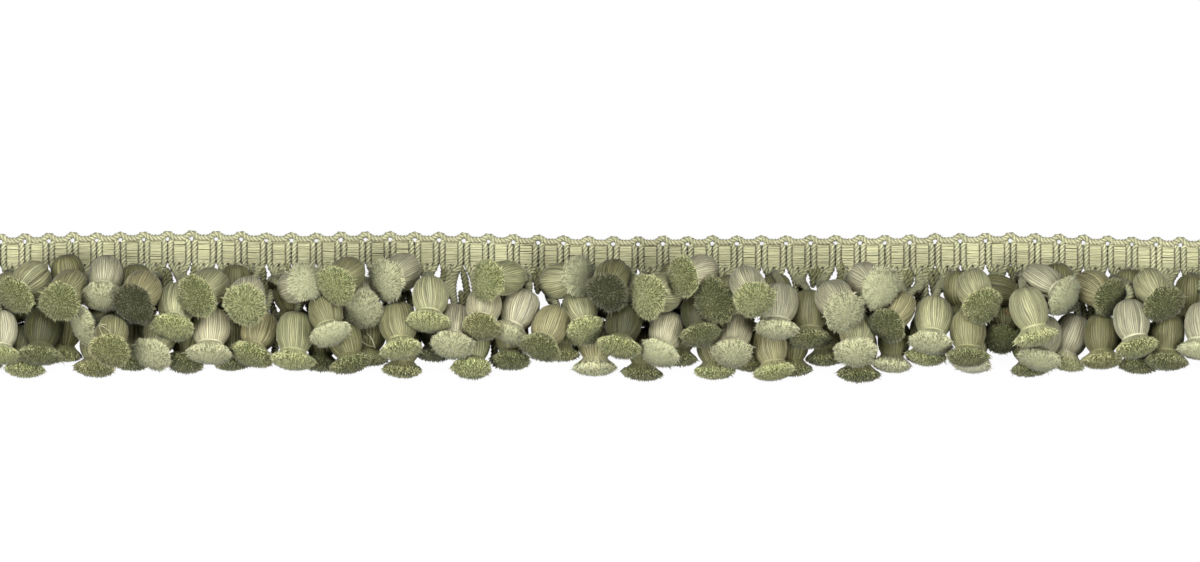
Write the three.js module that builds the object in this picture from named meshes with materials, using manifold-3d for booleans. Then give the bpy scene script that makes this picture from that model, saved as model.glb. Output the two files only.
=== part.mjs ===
// Onion tassel fringe trim, a cut length laid on a table with its front up.
//
// A woven gimp heading runs along X, with its flat back on z = 0 and its front facing +Z.
// Hanger cords leave the heading's lower edge, and each carries one onion tassel: a bulb
// of floss, a tied neck and a flared, cut brush. The tassels lie heaped in two or three
// layers. The frame's origin is on the heading's back, at mid length and mid width.
// Millimetres throughout; +Y runs from the tassels to the picot edge.

import * as THREE from 'three';
import { mergeVertices } from 'three/addons/utils/BufferGeometryUtils.js';
import Module from 'manifold-3d';

// Heading
const REPEATS = 51; // one repeat is a block of floss and a pair of upright cords
const PITCH = 8.62; // length of one repeat
const HEADING_WIDTH = 12.4; // from the hangers' roots to the tops of the picots
const CORD = 2.1; // diameter of the heading's cord
const CROWN_HEIGHT = 2.6; // front of the upright cord pairs
const BLOCK_HEIGHT = 1.7; // front of the floss blocks between them
const PICOT_RISE = 1.6; // how far the picot arches stand above the edge between them
const PICOT_SPAN = 5.6; // width of one arch

// Hangers
const HANGER_WIDTH = 2.2; // the flat cord that carries one tassel
const HANGER_THICKNESS = 1.2;
const HANGER_HEIGHT = 0.75; // its middle where it leaves the heading
const HANGER_ROOT = 0.8; // how far it runs up into the heading
const HANGER_LEAN = 13; // the furthest that a hanger's foot lies to one side of its root
const HANGER_SHOWN = 15; // a loose tassel's hanger is built where it is longer than this
const ROOTS_REACH = 4; // tassels lie above the hangers as far below the heading as this
const ROOTS_HEIGHT = 1.6;

// Tassels
const BULB_RADIUS = 6.2;
const BULB_LENGTH = 13.0;
const BRUSH_RADIUS = 7.5;
const SIDES = 6; // facets round a tassel
const HANGER_GRIP = 1.5; // how far a hanger runs into the bulb that it carries
const GAP = 0.5; // clearance between neighbours
const FLOOR_FLAT = 0.7; // a tassel on the table is pressed flat by this much

// Settling of the heap
const SETTLE_ROUNDS = 600;
const SETTLE_DROP = 0.1; // how far a tassel sinks in one round, at first
const HOME_PULL = 0.2; // share of the way back to its own place in one round
const SETTLE_PULLED = 0.75; // share of the rounds in which the tassels are drawn home and down
const REACH = 28; // tassels further apart than this never meet
const GIVE_STEP = 0.2; // a tassel that still touches a neighbour gives way in such steps

// The heading's drift as it lies, at even steps from end to end: how far its middle
// rises along Y, and how far the weave has crept along X.
const DRIFT = [
  { rise: 0.0, creep: 0.0 },
  { rise: 1.4, creep: -1.9 },
  { rise: 0.7, creep: -1.5 },
  { rise: -0.9, creep: -0.8 },
  { rise: -0.6, creep: -0.3 },
  { rise: 0.4, creep: 0.6 },
  { rise: -1.4, creep: 0.0 },
];
const DRIFT_HALF = 210; // the drift's first and last rows are this far from the middle

// A tassel's half section, from the middle of the brush's face to the hanger: radius,
// and how far along the tassel from the middle of its bulb towards the brush.
const SECTION = [
  { radius: 0, along: 13.2 },
  { radius: BRUSH_RADIUS, along: 10.6 },
  { radius: 3.2, along: 6.4 },
  { radius: BULB_RADIUS, along: 1.2 },
  { radius: 5.4, along: -4.0 },
  { radius: 0, along: BULB_RADIUS - BULB_LENGTH },
];

// Balls that fill the same shape, for settling the heap: how many, how far out from the
// axis, how far along it, and their radius.
const BALLS = [
  { count: 1, out: 0, along: -0.4, radius: 6.0 },
  { count: 1, out: 0, along: 4.4, radius: 4.0 },
  { count: 1, out: 0, along: 10.0, radius: 3.0 },
  { count: 6, out: 3.2, along: 9.8, radius: 2.3 },
  { count: 10, out: 5.7, along: 10.5, radius: 1.6 },
];

// A tassel's row: x and y of the middle of its bulb; swing, the turn of the brush from
// straight down towards +X; nod, its turn up towards the front; and its size, in percent.
// Angles are in degrees. The heap's settling shifts most of them by a millimetre or two.
const COLUMNS = ['x', 'y', 'swing', 'nod', 'size'];
const LAYER_HEIGHT = { back: 5, middle: 12, front: 16 }; // before the heap settles

const BACK_TASSELS = [
  [-216, -27, -4, 0, 100],
  [-216, -13, 6, 10, 98],
  [-208, -14, 10, 0, 96],
  [-199, -33, -5, 10, 100],
  [-187, -10, 10, -5, 96],
  [-187, -24, -8, 0, 98],
  [-177, -27, -5, 14, 98],
  [-164, -28, -8, 8, 96],
  [-162, -15, 6, 0, 98],
  [-145, -30, -11, 22, 100],
  [-129, -29, 5, 6, 96],
  [-128, -12, -5, 0, 96],
  [-108, -15, 4, 0, 96],
  [-98, -29, -5, 14, 96],
  [-90, -30, 15, 18, 100],
  [-80, -29, -6, 0, 96],
  [-67, -31, -3, 4, 98],
  [-61, -26, 3, 8, 96],
  [-45, -31, 0, 24, 102],
  [-32, -31, -3, 22, 98],
  [-13, -27, -3, 8, 92],
  [-3, -28, 0, 8, 104],
  [2, -14, 6, 0, 96],
  [13, -14, 5, 0, 96],
  [15, -30, -5, 6, 96],
  [25, -14, 6, 0, 96],
  [30, -28, -5, 10, 94],
  [37, -31, 2, 8, 100],
  [54, -31, 2, 4, 90],
  [61, -16, 4, 0, 94],
  [67, -29, 0, 4, 96],
  [78, -29, 2, 4, 96],
  [92, -31, -2, 6, 102],
  [98, -15, 4, 0, 94],
  [100, -29, -5, 10, 96],
  [111, -28, -5, 14, 98],
  [124, -14, 4, 0, 94],
  [135, -28, -8, 22, 96],
  [136, -16, 72, 0, 90],
  [141, -26, -5, 46, 92],
  [147, -29, 5, 8, 94],
  [161, -14, 4, 0, 94],
  [184, -14, 0, 0, 94],
  [188, -28, -3, 12, 98],
  [208, -15, 0, 0, 96],
  [216, -14, -8, 12, 100],
  [217, -27, 5, 6, 98],
];

const MIDDLE_TASSELS = [
  [-209, -26, 0, 20, 98],
  [-197, -26, -4, 20, 104],
  [-171, -28, -5, 52, 98],
  [-174, -23, -72, 34, 96],
  [-155, -29, -22, 46, 98],
  [-149, -17, -8, 34, 104],
  [-136, -26, -2, 26, 104],
  [-120, -28, -18, 28, 104],
  [-107, -27, -5, 16, 106],
  [-96, -21, 13, 32, 98],
  [-75, -25, 7, 22, 104],
  [-64, -17, -4, 26, 102],
  [-50, -23, -4, 40, 102],
  [-40, -19, -6, 38, 98],
  [-28, -21, -25, 18, 102],
  [-16, -24, -24, 32, 104],
  [-6, -21, 18, 40, 98],
  [8, -24, -11, 26, 102],
  [21, -27, -20, 34, 102],
  [32, -21, 8, 32, 96],
  [46, -27, -4, 38, 102],
  [62, -18, -6, 22, 102],
  [61, -31, 8, 14, 100],
  [72, -21, 2, 18, 106],
  [89, -28, -2, 44, 102],
  [115, -23, -5, 28, 106],
  [126, -26, 0, 18, 102],
  [149, -20, 15, 8, 108],
  [154, -29, -12, 28, 100],
  [165, -26, -18, 6, 104],
  [174, -28, 2, 14, 98],
  [185, -23, 12, 18, 106],
  [199, -26, -3, 14, 104],
  [209, -26, -5, 18, 104],
];

const FRONT_TASSELS = [
  [-200, -11, -46, 40, 104],
  [-185, -14, -33, 56, 104],
  [-173, -8, -5, 44, 104],
  [-160, -14, -31, 56, 106],
  [-139, -13, -51, 56, 106],
  [-124, -15, -10, 72, 106],
  [-107, -12, 110, 64, 98],
  [-89, -8, -43, 58, 100],
  [-83, -15, -3, 62, 106],
  [-70, -8, -62, 54, 104],
  [-34, -10, -80, 50, 102],
  [-15, -11, 102, 46, 104],
  [4, -9, -20, 58, 104],
  [22, -14, -75, 54, 108],
  [36, -9, -78, 48, 98],
  [44, -14, -70, 58, 112],
  [50, -12, 25, 56, 102],
  [82, -16, 35, 58, 106],
  [92, -13, 65, 60, 106],
  [106, -19, -34, 44, 98],
  [130, -13, 23, 48, 102],
  [154, -11, 60, 30, 106],
  [171, -14, 62, 44, 102],
  [192, -13, 35, 48, 104],
];

const wasm = await Module();
wasm.setup();

const SAGE = 0xa6a878;
const SAGE_LIGHT = 0xb7b78e;
const SAGE_DARK = 0x7f8258;

function cloth(name, color) {
  return new THREE.MeshStandardMaterial({ name, color, roughness: 0.9, metalness: 0 });
}

// ---- Solids --------------------------------------------------------------------

// A closed geometry as a solid, with the vertices that its faces share merged.
function solidOf(geometry) {
  const bare = new THREE.BufferGeometry();
  bare.setAttribute('position', geometry.getAttribute('position').clone());
  bare.setIndex(geometry.index);
  const merged = mergeVertices(bare, 1e-3);
  return new wasm.Manifold(
    new wasm.Mesh({
      numProp: 3,
      vertProperties: merged.getAttribute('position').array,
      triVerts: new Uint32Array(merged.index.array),
    }),
  );
}

function geometryOf(solid) {
  const mesh = solid.getMesh();
  const geometry = new THREE.BufferGeometry();
  geometry.setAttribute('position', new THREE.BufferAttribute(mesh.vertProperties, mesh.numProp));
  geometry.setIndex(new THREE.BufferAttribute(mesh.triVerts, 1));
  geometry.computeVertexNormals();
  return geometry;
}

function boxOf(solid) {
  const { min, max } = solid.boundingBox();
  return new THREE.Box3(new THREE.Vector3(...min), new THREE.Vector3(...max));
}

function touches(one, other) {
  const common = one.intersect(other);
  const hit = !common.isEmpty();
  common.delete();
  return hit;
}

// What would go below the table lies flat on it.
function pressed(geometry) {
  const points = geometry.getAttribute('position');
  for (let i = 0; i < points.count; i += 1) points.setZ(i, Math.max(points.getZ(i), 0));
  return geometry;
}

// ---- Heading -------------------------------------------------------------------

const driftCurve = new THREE.SplineCurve(DRIFT.map((row) => new THREE.Vector2(row.creep, row.rise)));

// Where the weave's point x really lies: its creep along X and its rise along Y.
function driftAt(x) {
  const t = THREE.MathUtils.clamp((x + DRIFT_HALF) / (2 * DRIFT_HALF), 0, 1);
  return driftCurve.getPoint(t);
}

function blockX(repeat) {
  return (repeat - (REPEATS - 1) / 2) * PITCH;
}

// How far a picot arch lifts the upper edge at x: the arches stand over the cord pairs.
function picotRise(x) {
  const fromBlock = Math.abs(THREE.MathUtils.euclideanModulo(x + PITCH / 2, PITCH) - PITCH / 2);
  const fromPair = PITCH / 2 - fromBlock;
  const offset = Math.min(fromPair / (PICOT_SPAN / 2), 1);
  return PICOT_RISE * (0.5 + 0.5 * Math.cos(Math.PI * offset));
}

// The front's height over the back, column by column from one cord pair to the next.
const RIB_COLUMNS = [
  { across: 0, height: CROWN_HEIGHT },
  { across: CORD, height: BLOCK_HEIGHT },
  { across: PITCH - CORD, height: BLOCK_HEIGHT },
];

function headingGeometry() {
  const columns = REPEATS * RIB_COLUMNS.length;
  const length = REPEATS * PITCH;
  const geometry = new THREE.BoxGeometry(length, HEADING_WIDTH, 1, columns, 1, 1);
  const place = geometry.getAttribute('position');
  for (let i = 0; i < place.count; i += 1) {
    const column = Math.round((place.getX(i) / length + 0.5) * columns);
    const repeat = Math.floor(column / RIB_COLUMNS.length);
    const rib = RIB_COLUMNS[column % RIB_COLUMNS.length];
    const x = blockX(repeat) - PITCH / 2 + rib.across;
    const y = place.getY(i);
    const drift = driftAt(x);
    const z = place.getZ(i) > 0 ? rib.height : 0;
    place.setXYZ(i, x + drift.x, y + drift.y + (y > 0 ? picotRise(x) - PICOT_RISE : 0), z);
  }
  return geometry;
}

// Where hangers leave the heading: below both cords of each pair.
function hangerRoots() {
  return [...Array(2 * REPEATS).keys()].map((i) => {
    const side = i % 2 ? 1 : -1;
    const x = blockX(Math.floor(i / 2)) + side * (PITCH / 2 - CORD);
    const drift = driftAt(x);
    return new THREE.Vector3(x + drift.x, drift.y - HEADING_WIDTH / 2 + HANGER_ROOT, HANGER_HEIGHT);
  });
}

function hangerGeometry(from, to) {
  const across = HANGER_WIDTH / 2;
  const deep = HANGER_THICKNESS / 2;
  const section = new THREE.Shape([
    new THREE.Vector2(-across, -deep),
    new THREE.Vector2(across, -deep),
    new THREE.Vector2(across, deep),
    new THREE.Vector2(-across, deep),
  ]);
  const path = new THREE.LineCurve3(from, to);
  return pressed(new THREE.ExtrudeGeometry(section, { steps: 1, bevelEnabled: false, extrudePath: path }));
}

// ---- Tassels -------------------------------------------------------------------

// The rows of a table with their columns named.
function tasselRows(rows, layer) {
  return rows.map((row) => {
    const named = Object.fromEntries(COLUMNS.map((column, i) => [column, row[i]]));
    return { ...named, layer, scale: named.size / 100, joined: layer === 'back', z: LAYER_HEIGHT[layer] };
  });
}

// A tassel along -Y, with the middle of its bulb at the origin. Swell thickens it all round.
function tasselGeometry(row, swell) {
  const profile = SECTION.map(({ radius, along }, i) => {
    const end = i === 0 ? swell : i === SECTION.length - 1 ? -swell : 0;
    return new THREE.Vector2(radius > 0 ? radius * row.scale + swell : 0, -(along * row.scale + end));
  });
  return new THREE.LatheGeometry(profile, SIDES);
}

function turnOf(row) {
  const { degToRad } = THREE.MathUtils;
  return new THREE.Euler(degToRad(-row.nod), 0, degToRad(row.swing), 'ZXY');
}

function placeOf(row) {
  return new THREE.Matrix4().makeRotationFromEuler(turnOf(row)).setPosition(row.x, row.y, row.z);
}

function fatTassel(row) {
  return solidOf(tasselGeometry(row, GAP).applyMatrix4(placeOf(row)));
}

// The balls that stand for a tassel while the heap settles, turned as it is.
function ballsOf(row) {
  const turn = new THREE.Quaternion().setFromEuler(turnOf(row));
  return BALLS.flatMap(({ count, out, along, radius }) =>
    [...Array(count).keys()].map((i) => {
      const angle = (2 * Math.PI * i) / count;
      const offset = new THREE.Vector3(out * Math.cos(angle), -along, out * Math.sin(angle));
      return { offset: offset.multiplyScalar(row.scale).applyQuaternion(turn), radius: radius * row.scale };
    }),
  );
}

// The lowest that a tassel at y may lie: on the table, on the Vs or on the heading.
function bedHeight(balls, y) {
  const beds = [
    { edge: -HEADING_WIDTH / 2, height: CROWN_HEIGHT + GAP },
    { edge: -HEADING_WIDTH / 2 - ROOTS_REACH, height: ROOTS_HEIGHT + GAP },
  ];
  let lowest = -Infinity;
  for (const { offset, radius } of balls) {
    lowest = Math.max(lowest, radius - FLOOR_FLAT - offset.z);
    for (const { edge, height } of beds) {
      const beyond = Math.max(0, edge - (y + offset.y));
      if (beyond >= radius) continue;
      lowest = Math.max(lowest, height + Math.sqrt(radius ** 2 - beyond ** 2) - offset.z);
    }
  }
  return lowest;
}

// How two tassels must part: the deepest overlap of their balls, as a vector.
function overlap(one, other) {
  const between = new THREE.Vector3();
  const push = new THREE.Vector3();
  let deepest = 0;
  for (const a of one.balls) {
    for (const b of other.balls) {
      between.copy(other.at).add(b.offset).sub(one.at).sub(a.offset);
      const apart = between.length();
      const depth = a.radius + b.radius + GAP - apart;
      if (depth > deepest) {
        deepest = depth;
        push.copy(between).multiplyScalar(depth / Math.max(apart, 1e-6));
      }
    }
  }
  return push;
}

// Lets the heap settle: tassels that overlap push each other apart, and each is drawn
// back to the place in its row and down to the table.
function settle(rows) {
  const bodies = rows.map((row) => ({
    row,
    balls: ballsOf(row),
    at: new THREE.Vector3(row.x, row.y, row.z),
  }));
  for (let round = 0; round < SETTLE_ROUNDS; round += 1) {
    const pull = Math.max(0, 1 - round / (SETTLE_ROUNDS * SETTLE_PULLED));
    for (const { row, at } of bodies) {
      at.x += (row.x - at.x) * HOME_PULL * pull;
      at.y += (row.y - at.y) * HOME_PULL * pull;
      at.z -= SETTLE_DROP * pull;
    }
    bodies.forEach((one, i) => {
      for (const other of bodies.slice(i + 1)) {
        if (one.at.distanceToSquared(other.at) > REACH * REACH) continue;
        const push = overlap(one, other);
        one.at.addScaledVector(push, -0.5);
        other.at.addScaledVector(push, 0.5);
      }
    });
    for (const { balls, at } of bodies) at.z = Math.max(at.z, bedHeight(balls, at.y));
  }
  for (const { row, at } of bodies) Object.assign(row, { x: at.x, y: at.y, z: at.z });
}

// A tassel's geometry in its own frame, pressed flat where it would go below the table.
function pressedGeometry(row) {
  const place = placeOf(row);
  return pressed(tasselGeometry(row, 0).applyMatrix4(place)).applyMatrix4(place.invert());
}

// The ways in which a tassel may give way to its neighbours: aside, up, or both.
const WAYS = [0, 1].flatMap((up) =>
  [-1, 0, 1].flatMap((right) =>
    [-1, 0, 1].map((away) => new THREE.Vector3(right, away, up).normalize()),
  ),
);

// The tassel with its clearance round it if it touches nothing laid before it, else null.
function fits(row, at, laid) {
  Object.assign(row, { x: at.x, y: at.y, z: at.z });
  const fat = fatTassel(row);
  const box = boxOf(fat);
  return laid.some((other) => other.box.intersectsBox(box) && touches(fat, other.solid)) ? null : fat;
}

// Lays a tassel where it clears what was laid before it, as near as can be to its row,
// and lets it sink until it rests on that or on the table.
function lay(row, laid) {
  const home = new THREE.Vector3(row.x, row.y, row.z);
  let fat = fits(row, home, laid);
  for (let far = GIVE_STEP; !fat; far += GIVE_STEP) {
    for (const way of WAYS) fat ??= fits(row, home.clone().addScaledVector(way, far), laid);
  }
  const bed = bedHeight(ballsOf(row), row.y);
  const at = new THREE.Vector3(row.x, row.y, row.z);
  while (fat && at.z > bed) {
    at.z = Math.max(bed, at.z - GIVE_STEP);
    fat = fits(row, at, laid);
  }
  if (!fat) {
    at.z += GIVE_STEP;
    fat = fits(row, at, laid);
  }
  const solid = solidOf(pressedGeometry(row).applyMatrix4(placeOf(row)));
  laid.push({ row, solid, fat, box: boxOf(solid) });
}

// A hanger from the nearest free root whose way to the crown of the bulb is clear.
function hangerOf(tassel, tassels, roots) {
  const { row, fat } = tassel;
  const top = (BULB_LENGTH - BULB_RADIUS) * row.scale - HANGER_GRIP;
  const crown = new THREE.Vector3(0, top, 0).applyMatrix4(placeOf(row));
  const near = roots.filter((root) => Math.abs(root.x - crown.x) < HANGER_LEAN);
  near.sort((a, b) => a.distanceTo(crown) - b.distanceTo(crown));
  if (!row.joined && (near.length === 0 || near[0].distanceTo(crown) < HANGER_SHOWN)) return null;
  for (const root of near) {
    const whole = solidOf(hangerGeometry(root, crown));
    const box = boxOf(whole);
    const inTheWay = (other) =>
      other !== tassel &&
      !(row.joined && other.row.joined) &&
      other.box.intersectsBox(box) &&
      touches(whole, other.fat);
    if (tassels.some(inTheWay)) continue;
    const hanger = row.joined ? whole : whole.subtract(fat);
    if (hanger.decompose().length !== 1) continue;
    roots.splice(roots.indexOf(root), 1);
    return hanger;
  }
  return null;
}

// ---- The trim ------------------------------------------------------------------

const band = solidOf(headingGeometry());
const rows = [
  ...tasselRows(BACK_TASSELS, 'back'),
  ...tasselRows(MIDDLE_TASSELS, 'middle'),
  ...tasselRows(FRONT_TASSELS, 'front'),
];
settle(rows);

const laid = [{ solid: band, box: boxOf(band) }];
for (const row of [...rows].sort((a, b) => a.z - b.z)) lay(row, laid);

// The comb: the heading, the hangers and the back tassels in one solid. Back tassels take
// their hangers first, then the rest, and in each lot those nearest the heading go first.
const tassels = laid.filter((piece) => piece.row);
tassels.sort((a, b) => b.row.joined - a.row.joined || b.row.y - a.row.y);
const roots = hangerRoots();
let comb = band;
for (const tassel of tassels) {
  const hanger = hangerOf(tassel, tassels, roots);
  if (hanger) comb = comb.add(hanger);
  if (tassel.row.joined) comb = comb.add(tassel.solid);
}

const trim = new THREE.Group();

function addMesh(name, geometry, color) {
  const mesh = new THREE.Mesh(geometry, cloth(`${name}_floss`, color));
  mesh.name = name;
  trim.add(mesh);
  return mesh;
}

addMesh('heading', geometryOf(comb), SAGE);

for (const { layer, color } of [
  { layer: 'middle', color: SAGE_DARK },
  { layer: 'front', color: SAGE_LIGHT },
]) {
  rows
    .filter((row) => row.layer === layer)
    .forEach((row, i) => {
      const name = `tassel_${layer}_${String(i + 1).padStart(2, '0')}`;
      const mesh = addMesh(name, pressedGeometry(row), color);
      mesh.position.set(row.x, row.y, row.z);
      mesh.rotation.copy(turnOf(row));
    });
}

export default trim;
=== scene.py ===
"""Onion tassel fringe: a gimp heading of corded floss blocks over three heaped layers of onion tassels."""

import logging
import math
from dataclasses import dataclass, field
from enum import Enum
from typing import NamedTuple

import bpy
import numpy as np
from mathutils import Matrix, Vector
from mathutils.kdtree import KDTree


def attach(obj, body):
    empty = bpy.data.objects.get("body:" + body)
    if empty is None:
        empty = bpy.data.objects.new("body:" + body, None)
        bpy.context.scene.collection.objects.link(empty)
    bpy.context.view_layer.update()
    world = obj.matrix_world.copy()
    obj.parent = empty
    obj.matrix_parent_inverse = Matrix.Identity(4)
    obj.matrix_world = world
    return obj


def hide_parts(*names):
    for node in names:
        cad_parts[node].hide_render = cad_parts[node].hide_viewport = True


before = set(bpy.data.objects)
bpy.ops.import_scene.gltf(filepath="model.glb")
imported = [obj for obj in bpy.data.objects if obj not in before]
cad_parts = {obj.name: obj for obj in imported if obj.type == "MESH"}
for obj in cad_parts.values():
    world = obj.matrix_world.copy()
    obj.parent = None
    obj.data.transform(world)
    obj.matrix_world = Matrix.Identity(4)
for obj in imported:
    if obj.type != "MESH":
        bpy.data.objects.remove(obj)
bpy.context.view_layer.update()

log = logging.getLogger("fringe")

METRE = 0.001  # the tables and shapes below are in millimetres
BODY = "root"

TURN = 2 * math.pi
WARMTH = np.array([1.03, 1.0, 0.97])  # of the bulbs' floss
REPEATS = 51  # blocks along the heading
PITCH = 8.62  # from block to block
CORD_WIDTH = 2.1
CORNERS = ((-1, -1), (1, -1), (1, 1), (-1, 1))  # of a square, in order
LIE_SPREAD = 400  # how far apart two strands may start in the noise that draws their fibres
TABLE_GAP = 0.05  # the least height of a tassel's yarn
LOWEST_CORD = 1.1  # the least height of a hanging cord's middle
GOLDEN_ANGLE = math.pi * (3 - math.sqrt(5))  # from one tuft to the next, which spreads them evenly
SHARED = 2.5  # what it costs a cord or a tassel to have two of the other, as millimetres of slant


def linear(red: float, green: float, blue: float) -> np.ndarray:
    """The scene-linear colour of a display colour given in 0 to 255."""
    c = np.array([red, green, blue]) / 255
    return np.where(c <= 0.04045, c / 12.92, ((c + 0.055) / 1.055) ** 2.4)


class Layer(Enum):
    """The three layers of the heap, each with the name of a finish slot as its value."""

    BACK = "heading_floss"
    MIDDLE = "middle_tassel_floss"
    FRONT = "front_tassel_floss"

    @property
    def rank(self) -> int:
        """0 for the back layer to 2 for the front one."""
        return list(Layer).index(self)


class Tone(Enum):
    """A tone of the yarn, given as a display colour."""

    @property
    def dye(self) -> np.ndarray:
        """Its scene-linear colour."""
        return linear(*self.value)


class Bulb(Tone):
    """Tones of the bulbs' floss: their dye, and in DARK and DEEP, which are given mostly to tassels that lie
    under others, painted shade as well.
    """

    CREAM = (202, 199, 164)
    LIGHT = (200, 198, 167)
    GREY = (184, 184, 153)
    SAGE = (179, 181, 139)
    BRIGHT = (170, 173, 129)
    MID = (155, 155, 113)
    BROWN = (171, 167, 124)
    DARK = (129, 129, 88)
    DEEP = (80, 82, 48)


class Pile(Tone):
    """Tones of the cut brushes, the colour of the fibre tips: their dye, and in DARK and DEEP, which are
    given mostly to tassels that lie under others, painted shade as well.
    """

    PALE = (198, 197, 171)
    SMOOTH = (178, 180, 147)
    LIGHT = (181, 182, 149)
    BRIGHT = (174, 177, 131)
    GREEN = (168, 172, 124)
    MID = (163, 166, 119)
    OLIVE = (153, 153, 109)
    DARK = (129, 132, 92)
    DEEP = (96, 98, 68)

    @property
    def velvet(self) -> float:
        """How velvety a brush of this tone is, from 0 for stippled to 1 for smooth."""
        velvety = {Pile.PALE: 1.0, Pile.SMOOTH: 1.0, Pile.LIGHT: 0.75, Pile.BRIGHT: 0.35, Pile.GREEN: 0.35}
        return velvety.get(self, 0.1)


class Row(NamedTuple):
    """One tassel: where its bulb is meant to lie, how it is turned, its size in percent and its tones."""

    x: float
    y: float
    swing: float
    nod: float
    size: float
    bulb: Bulb
    pile: Pile


BACK_ROWS = [
    Row(-216, -27, -4, 0, 100, Bulb.MID, Pile.MID),
    Row(-216, -13, 6, 10, 98, Bulb.MID, Pile.DARK),
    Row(-208, -14, 10, 0, 96, Bulb.MID, Pile.DARK),
    Row(-199, -33, -5, 10, 100, Bulb.BRIGHT, Pile.GREEN),
    Row(-187, -10, 10, -5, 96, Bulb.DARK, Pile.DARK),
    Row(-187, -24, -8, 0, 98, Bulb.DARK, Pile.MID),
    Row(-177, -27, -5, 14, 98, Bulb.MID, Pile.OLIVE),
    Row(-164, -28, -8, 8, 96, Bulb.MID, Pile.DARK),
    Row(-162, -15, 6, 0, 98, Bulb.DARK, Pile.DEEP),
    Row(-145, -30, -11, 22, 100, Bulb.DARK, Pile.DARK),
    Row(-129, -29, 5, 6, 96, Bulb.SAGE, Pile.DARK),
    Row(-128, -12, -5, 0, 96, Bulb.DARK, Pile.DEEP),
    Row(-108, -15, 4, 0, 96, Bulb.DARK, Pile.DEEP),
    Row(-98, -29, -5, 14, 96, Bulb.DARK, Pile.DARK),
    Row(-90, -30, 15, 18, 100, Bulb.DARK, Pile.DARK),
    Row(-80, -29, -6, 0, 96, Bulb.DARK, Pile.DARK),
    Row(-67, -31, -3, 4, 98, Bulb.MID, Pile.OLIVE),
    Row(-61, -26, 3, 8, 96, Bulb.DEEP, Pile.DEEP),
    Row(-45, -31, 0, 24, 102, Bulb.BRIGHT, Pile.GREEN),
    Row(-32, -31, -3, 22, 98, Bulb.DARK, Pile.DARK),
    Row(-13, -27, -3, 8, 92, Bulb.MID, Pile.OLIVE),
    Row(-3, -28, 0, 8, 104, Bulb.BROWN, Pile.LIGHT),
    Row(2, -14, 6, 0, 96, Bulb.DARK, Pile.DEEP),
    Row(13, -14, 5, 0, 96, Bulb.DARK, Pile.DEEP),
    Row(15, -30, -5, 6, 96, Bulb.DARK, Pile.DARK),
    Row(25, -14, 6, 0, 96, Bulb.DARK, Pile.DEEP),
    Row(30, -28, -5, 10, 94, Bulb.DARK, Pile.DARK),
    Row(37, -31, 2, 8, 100, Bulb.MID, Pile.GREEN),
    Row(54, -31, 2, 4, 90, Bulb.BROWN, Pile.OLIVE),
    Row(61, -16, 4, 0, 94, Bulb.DARK, Pile.DEEP),
    Row(67, -29, 0, 4, 96, Bulb.DARK, Pile.DARK),
    Row(78, -29, 2, 4, 96, Bulb.DARK, Pile.DARK),
    Row(92, -31, -2, 6, 102, Bulb.DARK, Pile.DARK),
    Row(98, -15, 4, 0, 94, Bulb.DARK, Pile.DEEP),
    Row(100, -29, -5, 10, 96, Bulb.DARK, Pile.LIGHT),
    Row(111, -28, -5, 14, 98, Bulb.MID, Pile.GREEN),
    Row(124, -14, 4, 0, 94, Bulb.DARK, Pile.DEEP),
    Row(135, -28, -8, 22, 96, Bulb.SAGE, Pile.PALE),
    Row(136, -16, 72, 0, 90, Bulb.DARK, Pile.DEEP),
    Row(141, -26, -5, 46, 92, Bulb.DARK, Pile.DARK),
    Row(147, -29, 5, 8, 94, Bulb.DARK, Pile.DARK),
    Row(161, -14, 4, 0, 94, Bulb.DARK, Pile.DEEP),
    Row(184, -14, 0, 0, 94, Bulb.DARK, Pile.DEEP),
    Row(188, -28, -3, 12, 98, Bulb.DARK, Pile.DARK),
    Row(208, -15, 0, 0, 96, Bulb.DARK, Pile.DARK),
    Row(216, -14, -8, 12, 100, Bulb.MID, Pile.MID),
    Row(217, -27, 5, 6, 98, Bulb.MID, Pile.MID),
]

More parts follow.
